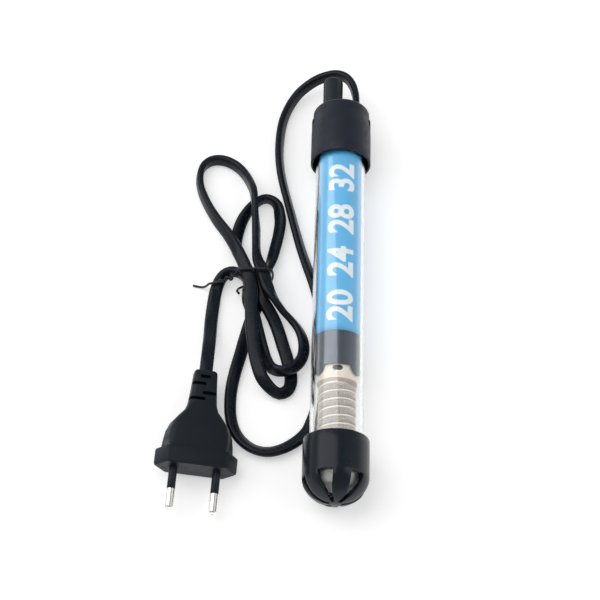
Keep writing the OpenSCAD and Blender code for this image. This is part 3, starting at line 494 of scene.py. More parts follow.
def end_faces(rings, columns):
    """Flat faces that close the first and the last ring."""
    last = (rings - 1) * columns
    return [tuple(range(columns)), tuple(range(last, last + columns))]


def circle(radius, sides):
    """A round profile."""
    turns = [2 * math.pi * k / sides for k in range(sides)]
    return [(radius * math.cos(t), radius * math.sin(t)) for t in turns]


def stadium(width, thickness, steps=8):
    """A flat profile with round edges."""
    radius = thickness / 2
    reach = width / 2 - radius
    profile = []
    for side in (1, -1):
        for k in range(steps + 1):
            turn = math.radians(-90 + 180 * k / steps)
            profile.append((side * (reach + radius * math.cos(turn)), side * radius * math.sin(turn)))
    return profile


def joined(parts):
    """Several lists of points and faces as one."""
    points = []
    faces = []
    for more_points, more_faces in parts:
        base = len(points)
        points += [Vector(p) for p in more_points]
        faces += [tuple(index + base for index in face) for face in more_faces]
    return points, faces


# ---------------------------------------------------------------- cord and tie

PLUG_YAW = math.radians(-2.6)
PLUG_ROLL_DEGREES = 9
PLUG_ROLL = math.radians(PLUG_ROLL_DEGREES)
PLUG_HALF_H = 6.85
PLUG_HALF_FLAT = 13.0
PLUG_Z = PLUG_HALF_H * math.cos(PLUG_ROLL) + PLUG_HALF_FLAT * math.sin(PLUG_ROLL)
PLUG_PLACE = Vector((-60.1, -93.6, PLUG_Z))
PLUG_BACK = Vector((-math.sin(PLUG_YAW), math.cos(PLUG_YAW), 0))
PLUG_LEVEL = Vector((math.cos(PLUG_YAW), math.sin(PLUG_YAW), 0))
PLUG_SIDE = PLUG_LEVEL * math.cos(PLUG_ROLL) - UP * math.sin(PLUG_ROLL)
PLUG_UP = PLUG_LEVEL * math.sin(PLUG_ROLL) + UP * math.cos(PLUG_ROLL)
PLUG_LEN = 46
CORD_STRAIGHT_END = 7
CORD_STEP = 1.6
CORD_END = PLUG_PLACE + PLUG_LEN * PLUG_BACK
CORD_BEFORE_END = CORD_END + CORD_STRAIGHT_END * PLUG_BACK

# The lead's centreline from the grommet to the plug: x, y, z and roll
CORD_ROUTE = [
    (7, 91.8, 14.4, 90), (7, 98.8, 14.4, 90), (6.5, 103, 14.2, 86), (5, 108.5, 13.8, 84),
    (2.2, 113.2, 13, 86), (-2, 115.8, 11.8, 82), (-6.7, 116.3, 10.2, 82), (-13, 114.8, 8, 78),
    (-19.77, 110.38, 5.4, 76), (-23.94, 104.84, 4, 72), (-26.64, 99.02, 3.3, 72),
    (-28.42, 92.52, 3, 68), (-29.36, 84.02, 3, 68), (-29.46, 74.01, 3, 70), (-28.38, 64, 3, 68),
    (-26.24, 53.99, 3, 66), (-23.25, 42.48, 3, 66), (-20.53, 31.95, 2.9, 62),
    (-17.81, 21.96, 2.9, 58), (-14.76, 12.52, 2.8, 52), (-11.3, 3.5, 2.5, 34),
    (-8.1, -7, 1.9, 10), (-6.3, -18, 1.7, 0), (-6, -29, 1.7, 0), (-6.1, -40, 1.7, 0),
    (-6.7, -50, 1.7, 0), (-8.4, -59, 1.7, 0), (-10.4, -66, 1.9, -10), (-13, -71.8, 2.2, -20),
    (-17.97, -76.7, 2.3, -28), (-23.96, -80.26, 2.5, -34), (-30.03, -81.61, 2.6, -38),
    (-36.12, -80.25, 2.7, -44), (-41.2, -76.4, 2.6, -42), (-44.6, -71.4, 2.6, -40),
    (-46.4, -65, 2.6, -40), (-46.92, -58.03, 2.6, -38), (-46.59, -50.58, 2.5, -35),
    (-45.31, -42.64, 2.5, -34), (-43.42, -34.16, 2.3, -24), (-41.65, -25.6, 1.9, -8),
    (-39.8, -17.5, 1.7, 0), (-37.6, -10.5, 1.7, 0), (-35.3, -5, 1.7, 0), (-33.9, -0.2, 2.8, 42),
    (-33.5, 4.5, 4.6, 90), (-32.4, 9.4, 3.9, 65), (-31.01, 15.3, 3, 38),
    (-29.6, 22.34, 2.6, 29), (-28.37, 29.41, 2.4, 30), (-27.78, 35.96, 2.4, 30),
    (-28.3, 40.6, 2.6, 40), (-29.2, 44.74, 2.9, 60), (-31.64, 47.65, 3.1, 84),
    (-34.86, 48.71, 3.1, 90), (-38.1, 47.4, 3.1, 85), (-40.9, 44.8, 3, 75),
    (-43.5, 41, 2.9, 60), (-45.75, 36.37, 2.6, 42), (-47.24, 30.98, 2.4, 30),
    (-48, 25.5, 2.4, 30), (-47.6, 19.8, 2.6, 38), (-45.5, 14.8, 3.1, 60), (-41.6, 10, 3.9, 80),
    (-37.9, 5, 4.7, 90), (-37.4, 0.8, 5.5, 118), (-36.6, -3.2, 5.9, 150),
    (-34.5, -7.8, 5.8, 178), (-31.75, -12, 4.8, 180), (-28.98, -16.79, 3.4, 180),
    (-26.58, -22.63, 2.1, 180), (-24.66, -28.66, 1.7, 180), (-22.96, -33.96, 1.7, 180),
    (-21.55, -39.1, 1.7, 180), (-20.55, -43.95, 1.8, 184), (-20.57, -48.41, 2.3, 205),
    (-22, -52.11, 2.9, 228), (-25.3, -53.75, 3.3, 240), (-28.39, -52.51, 4.2, 238),
    (-30.96, -50.54, 5.8, 222), (-33.3, -47.6, 7.1, 204), (-35, -43.2, 7.9, 190),
    (-36.4, -38, 8.3, 182), (-37.4, -32.4, 8.8, 180), (-38.3, -26, 9.4, 180),
    (-38.9, -19.5, 9.8, 180), (-39.2, -13, 9.9, 180), (-39.5, -7, 9.9, 180),
    (-40.1, -1.6, 9.9, 182), (-41.2, 3, 9.9, 186), (-43, 7.6, 10, 194), (-45.5, 13.2, 9.8, 206),
    (-48, 18.6, 8.9, 218), (-52, 26.2, 7.2, 228), (-56.88, 33.92, 5.4, 238),
    (-60.92, 41.18, 4.1, 250), (-64.12, 48.07, 3.3, 253), (-66.19, 53.95, 3.1, 258),
    (-67, 58.99, 3.1, 256), (-66.58, 63.6, 3.1, 262), (-64.98, 67.15, 3.1, 270),
    (-61.96, 69.52, 3.1, 277), (-58.5, 70.22, 3.1, 282), (-55.05, 69.66, 3.1, 285),
    (-51.35, 67.78, 3.3, 285), (-47.76, 64.41, 4, 285), (-44.7, 59.72, 5.2, 285),
    (-42.29, 53.96, 7.4, 284), (-40.69, 48.53, 9.4, 281), (-40, 43, 9.7, 275),
    (-39.4, 37, 8.4, 266), (-38.77, 30.51, 7, 253), (-38.53, 24.01, 6.6, 254),
    (-38.15, 17.61, 7, 250), (-37.2, 12, 8.2, 222), (-35.6, 7.4, 9.5, 196), (-34, 3, 9.9, 184),
    (-32.8, -1.4, 9.8, 196), (-30.9, -5.4, 9, 224), (-28.4, -9, 7.6, 245),
    (-24.9, -13.2, 5.4, 249), (-20.87, -16.94, 3.6, 246), (-17.76, -20.94, 3.1, 241),
    (-15.78, -25.4, 2.9, 232), (-15, -29.93, 2.8, 224), (-15.37, -34.38, 3.4, 228),
    (-16.66, -38.54, 5, 236), (-19.1, -42.3, 6.8, 246), (-22.6, -44.4, 7.6, 252),
    (-26, -44.3, 7, 250), (-29.2, -42, 5.2, 236), (-31.5, -38, 3.7, 220),
    (-33.2, -33.4, 3.4, 208), (-34.8, -28.2, 4.2, 200), (-36.4, -22.8, 5.6, 190),
    (-37.9, -17.2, 6.1, 186), (-39.6, -12, 5.7, 198), (-41.4, -7.4, 5.2, 226),
    (-42.3, -2.8, 4.5, 254), (-42.2, 1.6, 4.5, 270), (-43.8, 5.2, 4.5, 270),
    (-46.8, 7.4, 4.2, 262), (-50, 7.7, 3.7, 248), (-52.9, 6, 3.3, 235), (-55, 2.4, 2.8, 220),
    (-56.3, -2.6, 2.3, 205), (-57, -9, 1.9, 190), (-57.5, -17, 2.2, 182),
    (-57.48, -25.03, 4.2, 182), (-57.48, -32.53, 7, 186),
    (CORD_BEFORE_END.x, CORD_BEFORE_END.y, CORD_BEFORE_END.z, 180 + PLUG_ROLL_DEGREES),
    (CORD_END.x, CORD_END.y, CORD_END.z, 180 + PLUG_ROLL_DEGREES),
]

# The tie's wire: its tail, its loop round the bundle and its hooked end
TIE_ROUTE = [
    (-67, 1.8, 0.7), (-63, 1, 0.8), (-60.8, 0.6, 2.6), (-59.2, 0.4, 5.2), (-56.4, 0.4, 6.5),
    (-53, 1.2, 6.8), (-50.4, 2.8, 6.4), (-48.2, 3.4, 7.6), (-46.9, 4, 9.4), (-46.5, 4.4, 11),
    (-44.8, 4.6, 12.4), (-41.4, 4.6, 12.9), (-37.6, 4.6, 12.9), (-33.6, 4.6, 12.7),
    (-30.9, 4.6, 11.6), (-30.2, 4.6, 8.6), (-30.3, 4.6, 4.6), (-31.2, 4.6, 1.6),
    (-33.6, 4.6, 0.62), (-37, 4.6, 0.6), (-41, 3.6, 0.6), (-43.8, 2, 0.62),
    (-45.6, 0.4, 1.6), (-46.2, -1.4, 3.4), (-46.2, -3.4, 5.6), (-45.2, -5.2, 6.6),
]
TIE_D = 1.1
TIE_STEP = 0.7
STRAND_R = TIE_D * 0.4
STRAND_STEP = 0.4

# The strand's first and last place on the wire's path, and its turn from one to the next
TIE_TWIST = (20, 37)
TIE_TWIST_STEP = 1.35


def make_cord():
    """The flat lead, from the grommet into the plug."""
    path = smooth_path(CORD_ROUTE, CORD_STEP)
    points, faces = swept(path, stadium(cord_w, cord_t), level_frames(path))
    cord = mesh_object("flat_lead", points, faces, "cord_pvc", sharp=60)
    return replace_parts(cord, "power_cord"), path


def make_tie():
    """The tie's wire, with its other end twisted round it in front of the bundle."""
    path = smooth_path(TIE_ROUTE, TIE_STEP)
    frames = carried_frames(path)
    parts = [swept(path, circle(TIE_D / 2, 10), frames)]
    first, last = TIE_TWIST
    strand = []
    for i in range(first, last):
        side, other = frames[i]
        turn = TIE_TWIST_STEP * i
        spread = TIE_D * (0.65 + 0.45 * math.sin(math.pi * (i - first) / (last - first)))
        offset = side * math.cos(turn) + other * math.sin(turn)
        strand.append(tuple(Vector(path[i]) + offset * spread))
    strand = smooth_path(strand, STRAND_STEP)
    parts.append(swept(strand, circle(STRAND_R, 8), carried_frames(strand)))
    points, faces = joined(parts)
    tie = mesh_object("tie_wire", points, faces, "tie", sharp=60)
    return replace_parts(tie, "twist_tie")


# ---------------------------------------------------------------- guard

GUARD_DOME = 12.0
WINDOWS = 6
WINDOW_TURN = math.radians(180 - 19)
WINDOW_W = 6.9
WINDOW_SLIT = 2.0
WINDOW_REACH = 10.7
HUB_R = 2.6
HUB_ROWS = 3
WINDOW_ROWS = 16
SIDE_ROWS = 4
WINDOW_CELLS = 6
SEAT_LEN = 3
SEAT_EDGE = 0.25
SEAT_INSET = 1.2


def window_half_width(radius):
    """Half the width of an opening at this distance from the axis."""
    neck = 0.46 * guard_r
    waist = 0.72 * guard_r
    stops = [(HUB_R, WINDOW_SLIT / 2 - 0.2), (neck, WINDOW_SLIT / 2), (waist, WINDOW_W / 4),
             (guard_r, WINDOW_W / 2)]
    if radius <= HUB_R:
        return stops[0][1]
    for (low, a), (high, b) in zip(stops, stops[1:]):
        if radius <= high:
            return a + (b - a) * (radius - low) / (high - low)
    return stops[-1][1]


def make_guard():
    """The domed guard: a shell with six openings, and the seat at its rim."""
    tip = guard_low.y
    window_polar = math.acos(1 - WINDOW_REACH / GUARD_DOME)
    hub_polar = math.asin(HUB_R / guard_r)
    polars = [hub_polar * k / HUB_ROWS for k in range(HUB_ROWS + 1)]
    polars += [hub_polar + (window_polar - hub_polar) * k / WINDOW_ROWS
               for k in range(1, WINDOW_ROWS + 1)]
    polars += [window_polar + (math.pi / 2 - window_polar) * k / SIDE_ROWS
               for k in range(1, SIDE_ROWS + 1)]
    stations = [(guard_r * math.sin(p), tip + GUARD_DOME * (1 - math.cos(p))) for p in polars]
    rim = guard_high.y
    dome_end = tip + GUARD_DOME
    stations += [(guard_r, dome_end + (rim - dome_end) * k / SIDE_ROWS)
                 for k in range(1, SIDE_ROWS + 1)]
    cells = WINDOW_CELLS
    sector = 2 * math.pi / WINDOWS
    points = []
    for radius, y in stations:
        ratio = window_half_width(radius) / max(radius, HUB_R)
        half = math.asin(min(0.95, ratio))
        for k in range(WINDOWS):
            middle = WINDOW_TURN + k * sector
            turns = [middle - half + 2 * half * c / cells for c in range(cells)]
            turns += [middle + half + (sector - 2 * half) * c / cells for c in range(cells)]
            points += [round_axis(radius, y, turn) for turn in turns]

    def in_window(row, column):
        return HUB_ROWS <= row < HUB_ROWS + WINDOW_ROWS and column % (2 * cells) < cells

    faces = ring_faces(len(stations), WINDOWS * 2 * cells, is_open=in_window)
    guard = mesh_object("guard_shell", points, clean_faces(points, faces), "guard_plastic")
    add_solidify(guard, guard_wall)
    add_bevel(guard, 0.35, 45)
    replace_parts(guard, "foot_guard")
    seat_r = glass_r + fit_gap
    outer_r = guard_r - SEAT_INSET
    seat = [(seat_r, rim - SEAT_LEN), (outer_r, rim - SEAT_LEN), (outer_r, rim - SEAT_EDGE),
            (seat_r + 0.2, rim - SEAT_EDGE), (seat_r, rim - 2 * SEAT_EDGE)]
    points, faces = revolved(seat, 96, closed=True)
    ring = mesh_object("guard_seat", points, faces, "guard_plastic")
    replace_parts(ring, "foot_guard")


# ---------------------------------------------------------------- cap, knob and grommet

LATCH_LOW = 79.2
LATCH_LEN = 6.3
LATCH_W = 7.0
LATCH_CELLS = 4
SIDE_CELLS = 16
CAP_EDGE = 2.0


def make_cap():
    """The cap: a shell with two latch windows and a rounded top edge."""
    top = cap_high.y
    edge = CAP_EDGE
    step = cap_r - cap_top_r
    stations = [(cap_r, cap_low.y + (LATCH_LOW - 1 - cap_low.y) * k / 3) for k in range(4)]
    stations += [(cap_r - 0.02, LATCH_LOW)]
    stations += [(cap_r - step * k / 5, LATCH_LOW + LATCH_LEN * k / 5) for k in range(1, 6)]
    stations += [(cap_top_r, LATCH_LOW + LATCH_LEN + 0.8), (cap_top_r, top - edge)]
    stations += arc(cap_top_r - edge, top - edge, edge, 0, 90, 6)[1:]
    stations += [(6, top), (FACE_CENTRE, top)]
    first = 4
    last = 9
    half = math.asin(LATCH_W / 2 / (cap_r - 0.6))
    cells = LATCH_CELLS
    rest = SIDE_CELLS
    points = []
    for radius, y in stations:
        for side in (math.pi / 2, 3 * math.pi / 2):
            angles = [side - half + 2 * half * c / cells for c in range(cells)]
            angles += [side + half + (math.pi - 2 * half) * c / rest for c in range(rest)]
            points += [round_axis(radius, y, angle) for angle in angles]

    def in_latch(row, column):
        return first <= row < last and column % (cells + rest) < cells

    faces = ring_faces(len(stations), 2 * (cells + rest), is_open=in_latch)
    cap = mesh_object("cap_shell", points, clean_faces(points, faces), "cap_plastic", sharp=30)
    add_solidify(cap, cap_wall)
    add_bevel(cap, 0.25, 45)
    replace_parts(cap, "head_cap")


KNOB_CHAMFER = 0.3
KNOB_EDGE = 1.6


def make_knob():
    """The plain knob, with a small chamfer at its foot and a rounded end."""
    top = knob_high.y
    foot = knob_low.y
    profile = [(FACE_CENTRE, foot), (knob_r - KNOB_CHAMFER, foot), (knob_r, foot + KNOB_CHAMFER)]
    profile += [(knob_r, foot + 6), (knob_r, top - KNOB_EDGE)]
    profile += arc(knob_r - KNOB_EDGE, top - KNOB_EDGE, KNOB_EDGE, 0, 90, 8)[1:]
    profile += [(1.4, top), (1.25, top - 0.15), (FACE_CENTRE, top - 0.2)]
    points, faces = revolved(profile, 64, x=knob_x)
    knob = mesh_object("knob_body", points, faces, "knob_plastic", sharp=30, body="dial")
    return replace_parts(knob, "adjuster_knob")


def make_grommet():
    """The grommet round the lead, with a rounded rim."""
    low = grommet_low.y
    high = grommet_high.y
    profile = stadium(grommet_high.z - grommet_low.z, grommet_high.x - grommet_low.x, 10)
    inner = stadium(cord_w + 0.1, cord_t + 0.1, 10)
    rings = []
    for y, shrink in ((low, 0), (high - 0.35, 0), (high - 0.1, 0.1), (high, 0.35)):
        rings.append([(b * (1 - shrink / 2.3), y, a * (1 - shrink / 3.7)) for a, b in profile])
    rings.append([(b, high - 0.02, a) for a, b in inner])
    rings.append([(b, low, a) for a, b in inner])
    points = [(cord_x + x, y, axis_z + z) for ring in rings for x, y, z in ring]
    faces = ring_faces(len(rings), len(profile), closed=True)
    grommet = mesh_object("lead_grommet", points, faces, "rubber_black")
    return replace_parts(grommet, "cord_grommet")


# ---------------------------------------------------------------- glass and label


def make_glass():
    """The clear tube with its round end."""
    inner_r = glass_r - glass_wall
    top = glass_high.y
    dome_y = glass_low.y + glass_r
    profile = [(NEAR_AXIS, dome_y - glass_r)]
    profile += arc(0, dome_y, glass_r, -88, 0, 24)
    profile += [(glass_r, dome_y + (top - dome_y) * k / 8) for k in range(1, 9)]
    profile += [(inner_r, top - (top - dome_y) * k / 8) for k in range(8)]
    profile += arc(0, dome_y, inner_r, 0, -88, 24)
    profile += [(NEAR_AXIS, dome_y - inner_r)]
    points, faces = revolved(profile, 128)
    glass = mesh_object("glass_body", points, faces, "glass", sharp=60)
    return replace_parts(glass, "glass_tube")


LABEL_LIFT = 0.02
LABEL_WALL = 0.25
LABEL_SEAM_HALF = 0.6
DOTS_TURN = math.radians(67)
DOT_W = 0.4
DOT_LEN = 0.5
NUMBER_SIZE = 15.5
NUMBER_WEIGHT = 0.03 * NUMBER_SIZE
NUMBER_ACROSS = 1.15
NUMBER_CUT = 0.7
NUMBERS = ((47.5, "32"), (25, "28"), (2.5, "24"), (-20, "20"))


def wrapped(points, radius):
    """Flat points (across, along) laid round the tube; 0 across is the top."""
    return [round_axis(radius, y, a / radius) for a, y in points]


def label_dot(across, along):
    """A small flat mark on the label."""
    flat = [(across + a, along + b) for a in (-DOT_W / 2, DOT_W / 2) for b in (-DOT_LEN / 2, DOT_LEN / 2)]
    return wrapped(flat, label_r + LABEL_LIFT), [(0, 2, 3, 1)]


def number_mesh(text, along):
    """A number written along the tube, cut fine enough to bend round it."""
    curve = bpy.data.curves.new("number", "FONT")
    curve.body = text
    curve.size = NUMBER_SIZE
    curve.align_x = "CENTER"
    curve.align_y = "CENTER"
    curve.offset = NUMBER_WEIGHT
    holder = placed("number", curve)
    graph = bpy.context.evaluated_depsgraph_get()
    mesh = bpy.data.meshes.new_from_object(holder.evaluated_get(graph))
    work = bmesh.new()
    work.from_mesh(mesh)
    reach = max(abs(v.co.y) for v in work.verts)
    cut = -reach
    while cut < reach:
        everything = work.verts[:] + work.edges[:] + work.faces[:]
        bmesh.ops.bisect_plane(work, geom=everything, plane_co=(0, cut, 0), plane_no=(0, 1, 0))
        cut += NUMBER_CUT
    work.verts.index_update()
    flat = [(NUMBER_ACROSS - v.co.y, along + v.co.x) for v in work.verts]
    faces = [tuple(v.index for v in f.verts) for f in work.faces]
    work.free()
    bpy.data.objects.remove(holder)
    bpy.data.curves.remove(curve)
    bpy.data.meshes.remove(mesh)
    return wrapped(flat, label_r + LABEL_LIFT), faces


def make_label():
    """The rolled label with a scale of plain numbers and dotted edges."""
    half_seam = LABEL_SEAM_HALF / label_r
    rows = 24
    columns = 96
    points = []
    for i in range(rows + 1):
        y = label_low.y + (label_high.y - label_low.y) * i / rows
        for k in range(columns + 1):
            turn = math.pi + half_seam + (2 * math.pi - 2 * half_seam) * k / columns
            points.append(round_axis(label_r, y, turn))
    faces = []
    for i in range(rows):
        for k in range(columns):
            a = i * (columns + 1) + k
            faces.append((a, a + 1, a + columns + 2, a + columns + 1))
    label = mesh_object("label_sheet", points, faces, "label_paper")
    add_solidify(label, LABEL_WALL)
    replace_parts(label, "label_sleeve")
    points, faces = joined([number_mesh(text, place) for place, text in NUMBERS])
    scale = mesh_object("label_scale", points, faces, "label_paper", "label_white")
    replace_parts(scale, "label_sleeve")
    for side, slot in ((-1, "label_dots"), (1, "label_white")):
        across = side * DOTS_TURN * label_r
        count = int(label_high.y - label_low.y) - 1
        points, faces = joined([label_dot(across, label_low.y + 1 + k) for k in range(count)])
        edge = mesh_object(f"dotted_line_{slot}", points, faces, "label_paper", slot)
        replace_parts(edge, "label_sleeve")


# ---------------------------------------------------------------- heating element

WIRE_R = 1.45
WIRE_TURNS = 9
WIRE_PITCH = 3.95
WIRE_PATH_R = 7.15
WIRE_FOOT_Y = -92.2
FINE_R = 0.25
FINE_PITCH = 0.62
COIL_STEPS = 12
COIL_SQUASH = 0.86
RIDGE_RISE = 0.95
RIDGE_STEPS = 48


def winding_point(turns):
    """A place on the winding's helix and the way outward there."""
    angle = math.pi + 2 * math.pi * turns
    outward = Vector((math.sin(angle), 0, math.cos(angle)))
    centre = Vector((0, WIRE_FOOT_Y + WIRE_PITCH * turns, axis_z))
    return centre + outward * WIRE_PATH_R, outward


def make_winding():
    """Fine wire coiled close, and the coil wound round the core."""
    turn_length = math.hypot(2 * math.pi * WIRE_PATH_R, WIRE_PITCH)
    coils = round(WIRE_TURNS * turn_length / FINE_PITCH)
    steps = COIL_STEPS
    path = []
    for i in range(coils * steps + 1):
        place, outward = winding_point(WIRE_TURNS * i / (coils * steps))
        turn = 2 * math.pi * i / steps
        out = (WIRE_R - FINE_R) * math.sin(turn) * COIL_SQUASH
        along = (WIRE_R - FINE_R) * math.cos(turn)
        path.append(tuple(place + outward * out + Vector((0, along, 0))))
    points, faces = swept(path, circle(FINE_R, 5), carried_frames(path))
    wire = mesh_object("resistance_coil", points, faces, "element_wire", sharp=80)
    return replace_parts(wire, "heating_wire")


def make_ridge():
    """The core's thin ridge, which keeps the turns apart."""
    inner = WIRE_PATH_R - WIRE_R - 0.1
    outer = WIRE_PATH_R + RIDGE_RISE
    section = ((inner, 0.5), (outer - 0.15, 0.4), (outer, 0.25))
    outline = [(radius, -half) for radius, half in section]
    outline += [(radius, half) for radius, half in reversed(section)]
    rings = int((WIRE_TURNS - 0.5) * RIDGE_STEPS) + 1
    points = []
    for i in range(rings):
        turns = i / RIDGE_STEPS
        angle = math.pi + 2 * math.pi * turns
        y = WIRE_FOOT_Y + WIRE_PITCH * (turns + 0.5)
        points += [round_axis(radius, y + along, angle) for radius, along in outline]
    faces = ring_faces(rings, len(outline)) + end_faces(rings, len(outline))
    return mesh_object("core_ridge", points, faces, "core_ceramic", sharp=50)


# ---------------------------------------------------------------- plug

PIN_R = 2.0
PIN_PITCH = 18.6
PIN_LEN = 19.0
SLEEVE_LEN = 10.0
PLUG_HALF_W = 18.2
PLUG_FLAT = PLUG_HALF_FLAT / PLUG_HALF_W
NECK_FLAT = 0.9
PIN_ROOT = 6.9
PIN_CUT = 0.6
PIN_SEGMENTS = 48

# Distance from the face, half width, half height, corner radius and how rectangular it is
PLUG_SECTIONS = [
    (0, 17.4, 6.2, 1.2, 0), (0.35, 17.9, 6.65, 1.4, 0), (1.0, 18.2, 6.85, 1.5, 0),
    (6.8, 18.2, 6.85, 1.5, 0), (7.4, 18.0, 6.83, 1.6, 0), (7.8, 16.6, 6.8, 2.2, 0.05),
    (8.2, 16.0, 6.75, 2.6, 0.15), (12, 15.7, 6.55, 3.4, 0.3), (16, 15.0, 6.3, 3.8, 0.5),
    (20, 13.3, 6.0, 3.8, 0.7), (23.5, 10.5, 5.6, 3.4, 0.85), (26.5, 7.8, 5.2, 3.0, 1),
    (30, 6.6, 4.9, 2.6, 1), (36, 6.0, 4.7, 2.4, 1), (42, 5.6, 4.5, 2.2, 1),
    (45.3, 5.4, 4.4, 2.0, 1), (46, 5.0, 4.0, 1.8, 1),
]

# The neck's slots: distance from the face, middle and half width
SLOT_MARKS = [(42.7, 0, 2.2), (39.2, -2.9, 3.4), (34.7, 2.6, 3.2), (31.8, -2.8, 3.6)]
SLOT_W = 1.6
SLOT_FLOOR = 2.2
SLOT_TOP = 7


def plug_point(side, back, up):
    """A place on the plug, from its face's centre."""
    return PLUG_PLACE + PLUG_SIDE * side + PLUG_BACK * back + PLUG_UP * up


def rounded_corners(corners, radius, steps=4):
    """A closed outline with each corner rounded."""
    outline = []
    for i, corner in enumerate(corners):
        here = Vector(corner)
        before = Vector(corners[i - 1]) - here
        after = Vector(corners[(i + 1) % len(corners)]) - here
        angle = before.angle(after)
        reach = min(radius / math.tan(angle / 2), 0.45 * before.length, 0.45 * after.length)
        start = here + before.normalized() * reach
        end = here + after.normalized() * reach
        for k in range(steps + 1):
            t = k / steps
            outline.append(start * (1 - t) ** 2 + here * 2 * t * (1 - t) + end * t * t)
    return outline


def plug_outline(half_w, half_h, radius, square):
    """A hexagon lying on its flat, or nearly a rectangle where square is 1."""
    flat = half_w * (PLUG_FLAT + (NECK_FLAT - PLUG_FLAT) * square)
    corners = [(half_w, 0), (flat, half_h), (-flat, half_h),
               (-half_w, 0), (-flat, -half_h), (flat, -half_h)]
    return rounded_corners(corners, radius)


def make_plug_body():
    """The moulded plug: a hexagonal flange and body that narrow to a slotted neck."""
    outlines = [(s[0], plug_outline(*s[1:])) for s in PLUG_SECTIONS]
    count = len(outlines[0][1])
    points = [plug_point(p.x, back, p.y) for back, outline in outlines for p in outline]
    faces = end_faces(len(outlines), count) + ring_faces(len(outlines), count)
    body = mesh_object("plug_moulding", points, faces, "plug_pvc", sharp=32)
    cut(body, slot_blocks())
    add_bevel(body, 0.16, 50)
    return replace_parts(body, "plug_body")


def slot_blocks():
    """Blocks that cut the neck's staggered slots, above and below."""
    blocks = []
    for back, side, half in SLOT_MARKS:
        for low, high in ((SLOT_FLOOR, SLOT_TOP), (-SLOT_TOP, -SLOT_FLOOR)):
            corners = [plug_point(side + a, back + b, c)
                       for a in (-half, half) for b in (-SLOT_W / 2, SLOT_W / 2) for c in (low, high)]
            faces = [(0, 1, 3, 2), (4, 6, 7, 5), (0, 4, 5, 1), (2, 3, 7, 6), (0, 2, 6, 4), (1, 5, 7, 3)]
            blocks.append((corners, faces))
    return joined(blocks)


def cut(piece, cutter):
    """Takes the cutter's blocks out of a piece's mesh."""
    points, faces = cutter
    mesh = bpy.data.meshes.new("cutter")
    mesh.from_pydata([Vector(p) * MM for p in points], [], faces)
    tool = placed("cutter", mesh)
    remove = piece.modifiers.new("slots", "BOOLEAN")
    remove.operation = "DIFFERENCE"
    remove.solver = "EXACT"
    remove.object = tool
    graph = bpy.context.evaluated_depsgraph_get()
    result = bpy.data.meshes.new_from_object(piece.evaluated_get(graph))
    piece.modifiers.remove(remove)
    piece.data = result
    result.set_sharp_from_angle(angle=math.radians(32))
    bpy.data.objects.remove(tool)
    bpy.data.meshes.remove(mesh)


def turned_along_plug(profile, side):
    """A profile of (radius, distance out of the face) turned about one pin's line."""
    turns = [2 * math.pi * k / PIN_SEGMENTS for k in range(PIN_SEGMENTS)]
    points = [plug_point(side + radius * math.cos(turn), -out, radius * math.sin(turn))
              for radius, out in profile for turn in turns]
    return points, clean_faces(points, ring_faces(len(profile), PIN_SEGMENTS))


def make_pins():
    """The two pins, chamfered and dimpled at their tips, and their dark sleeves."""
    neck = PIN_R - PIN_CUT
    pin = [(NEAR_AXIS, -PIN_ROOT), (neck, -PIN_ROOT), (neck, SLEEVE_LEN), (PIN_R - 0.12, SLEEVE_LEN)]
    pin += [(PIN_R, SLEEVE_LEN + 0.12), (PIN_R, PIN_LEN - 0.9), (PIN_R - 0.3, PIN_LEN - 0.3)]
    pin += [(PIN_R - 0.95, PIN_LEN), (0.55, PIN_LEN), (0.45, PIN_LEN - 0.4)]
    pin += [(NEAR_AXIS, PIN_LEN - 0.6)]
    sleeve = [(neck + 0.02, -1), (PIN_R - 0.2, -1), (PIN_R - 0.2, SLEEVE_LEN - 0.2)]
    sleeve += [(PIN_R - 0.35, SLEEVE_LEN - 0.02), (neck + 0.02, SLEEVE_LEN - 0.02)]
    sides = (-PIN_PITCH / 2, PIN_PITCH / 2)
    points, faces = joined([turned_along_plug(pin, side) for side in sides])
    pins = mesh_object("plug_pin_pair", points, faces, "pin_metal", sharp=25)
    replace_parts(pins, "plug_pins")
    points, faces = joined([turned_along_plug(sleeve + sleeve[:1], side) for side in sides])
    sleeves = mesh_object("pin_sleeve_pair", points, faces, "plug_pvc", sharp=40)
    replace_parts(sleeves, "pin_sleeves")
    return pins, sleeves


# ---------------------------------------------------------------- nodes kept as they are

# The nodes that stay, by the material that each gets
KEPT_NODES = {
    "cap_plastic": ["snap_collar"],
    "rubber_black": ["rubber_stopper", "spindle_seal"],
    "cord_pvc": ["inner_cord"],
    "brass": ["adjuster_spindle", "adjusting_screw", "screw_bush"],
    "plated_steel": ["screw_bracket", "element_terminals", "bimetal_post", "leaf_post", "magnet_post"],
    "shield_metal": ["heat_shield"],
    "cream_ceramic": ["ceramic_collar"],
    "core_ceramic": ["ceramic_core"],
    "mica": ["mica_disc", "support_discs"],
    "fibre": ["fibre_pad"],
    "board": ["thermostat_board"],
    "bimetal": ["bimetal_strip"],
    "iron": ["armature"],
    "contact_silver": ["moving_contact", "fixed_contact", "rivets"],
    "leaf_bronze": ["contact_leaf"],
    "magnet": ["magnet"],
    "lamp_glass": ["indicator_lamp"],
    "resistor": ["lamp_resistor"],
    "capacitor": ["capacitor"],
    "brown_wire": ["live_wire", "element_wire"],
    "blue_wire": ["neutral_wire"],
}


def dress_nodes():
    """Gives the CAD nodes that stay their materials."""
    for slot, nodes in KEPT_NODES.items():
        for node in nodes:
            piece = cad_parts[node]
            if not piece.material_slots:
                piece.data.materials.append(None)
            for place in piece.material_slots:
                place.link = "OBJECT"
                place.material = materials[slot]


# ---------------------------------------------------------------- floor and light

FLOOR_GLOW = 0.44
HORIZON_LIGHT = 0.62
ZENITH_LIGHT = 0.22
FLOOR_REACH = 1.5
FLOOR_DROP = 0.00005


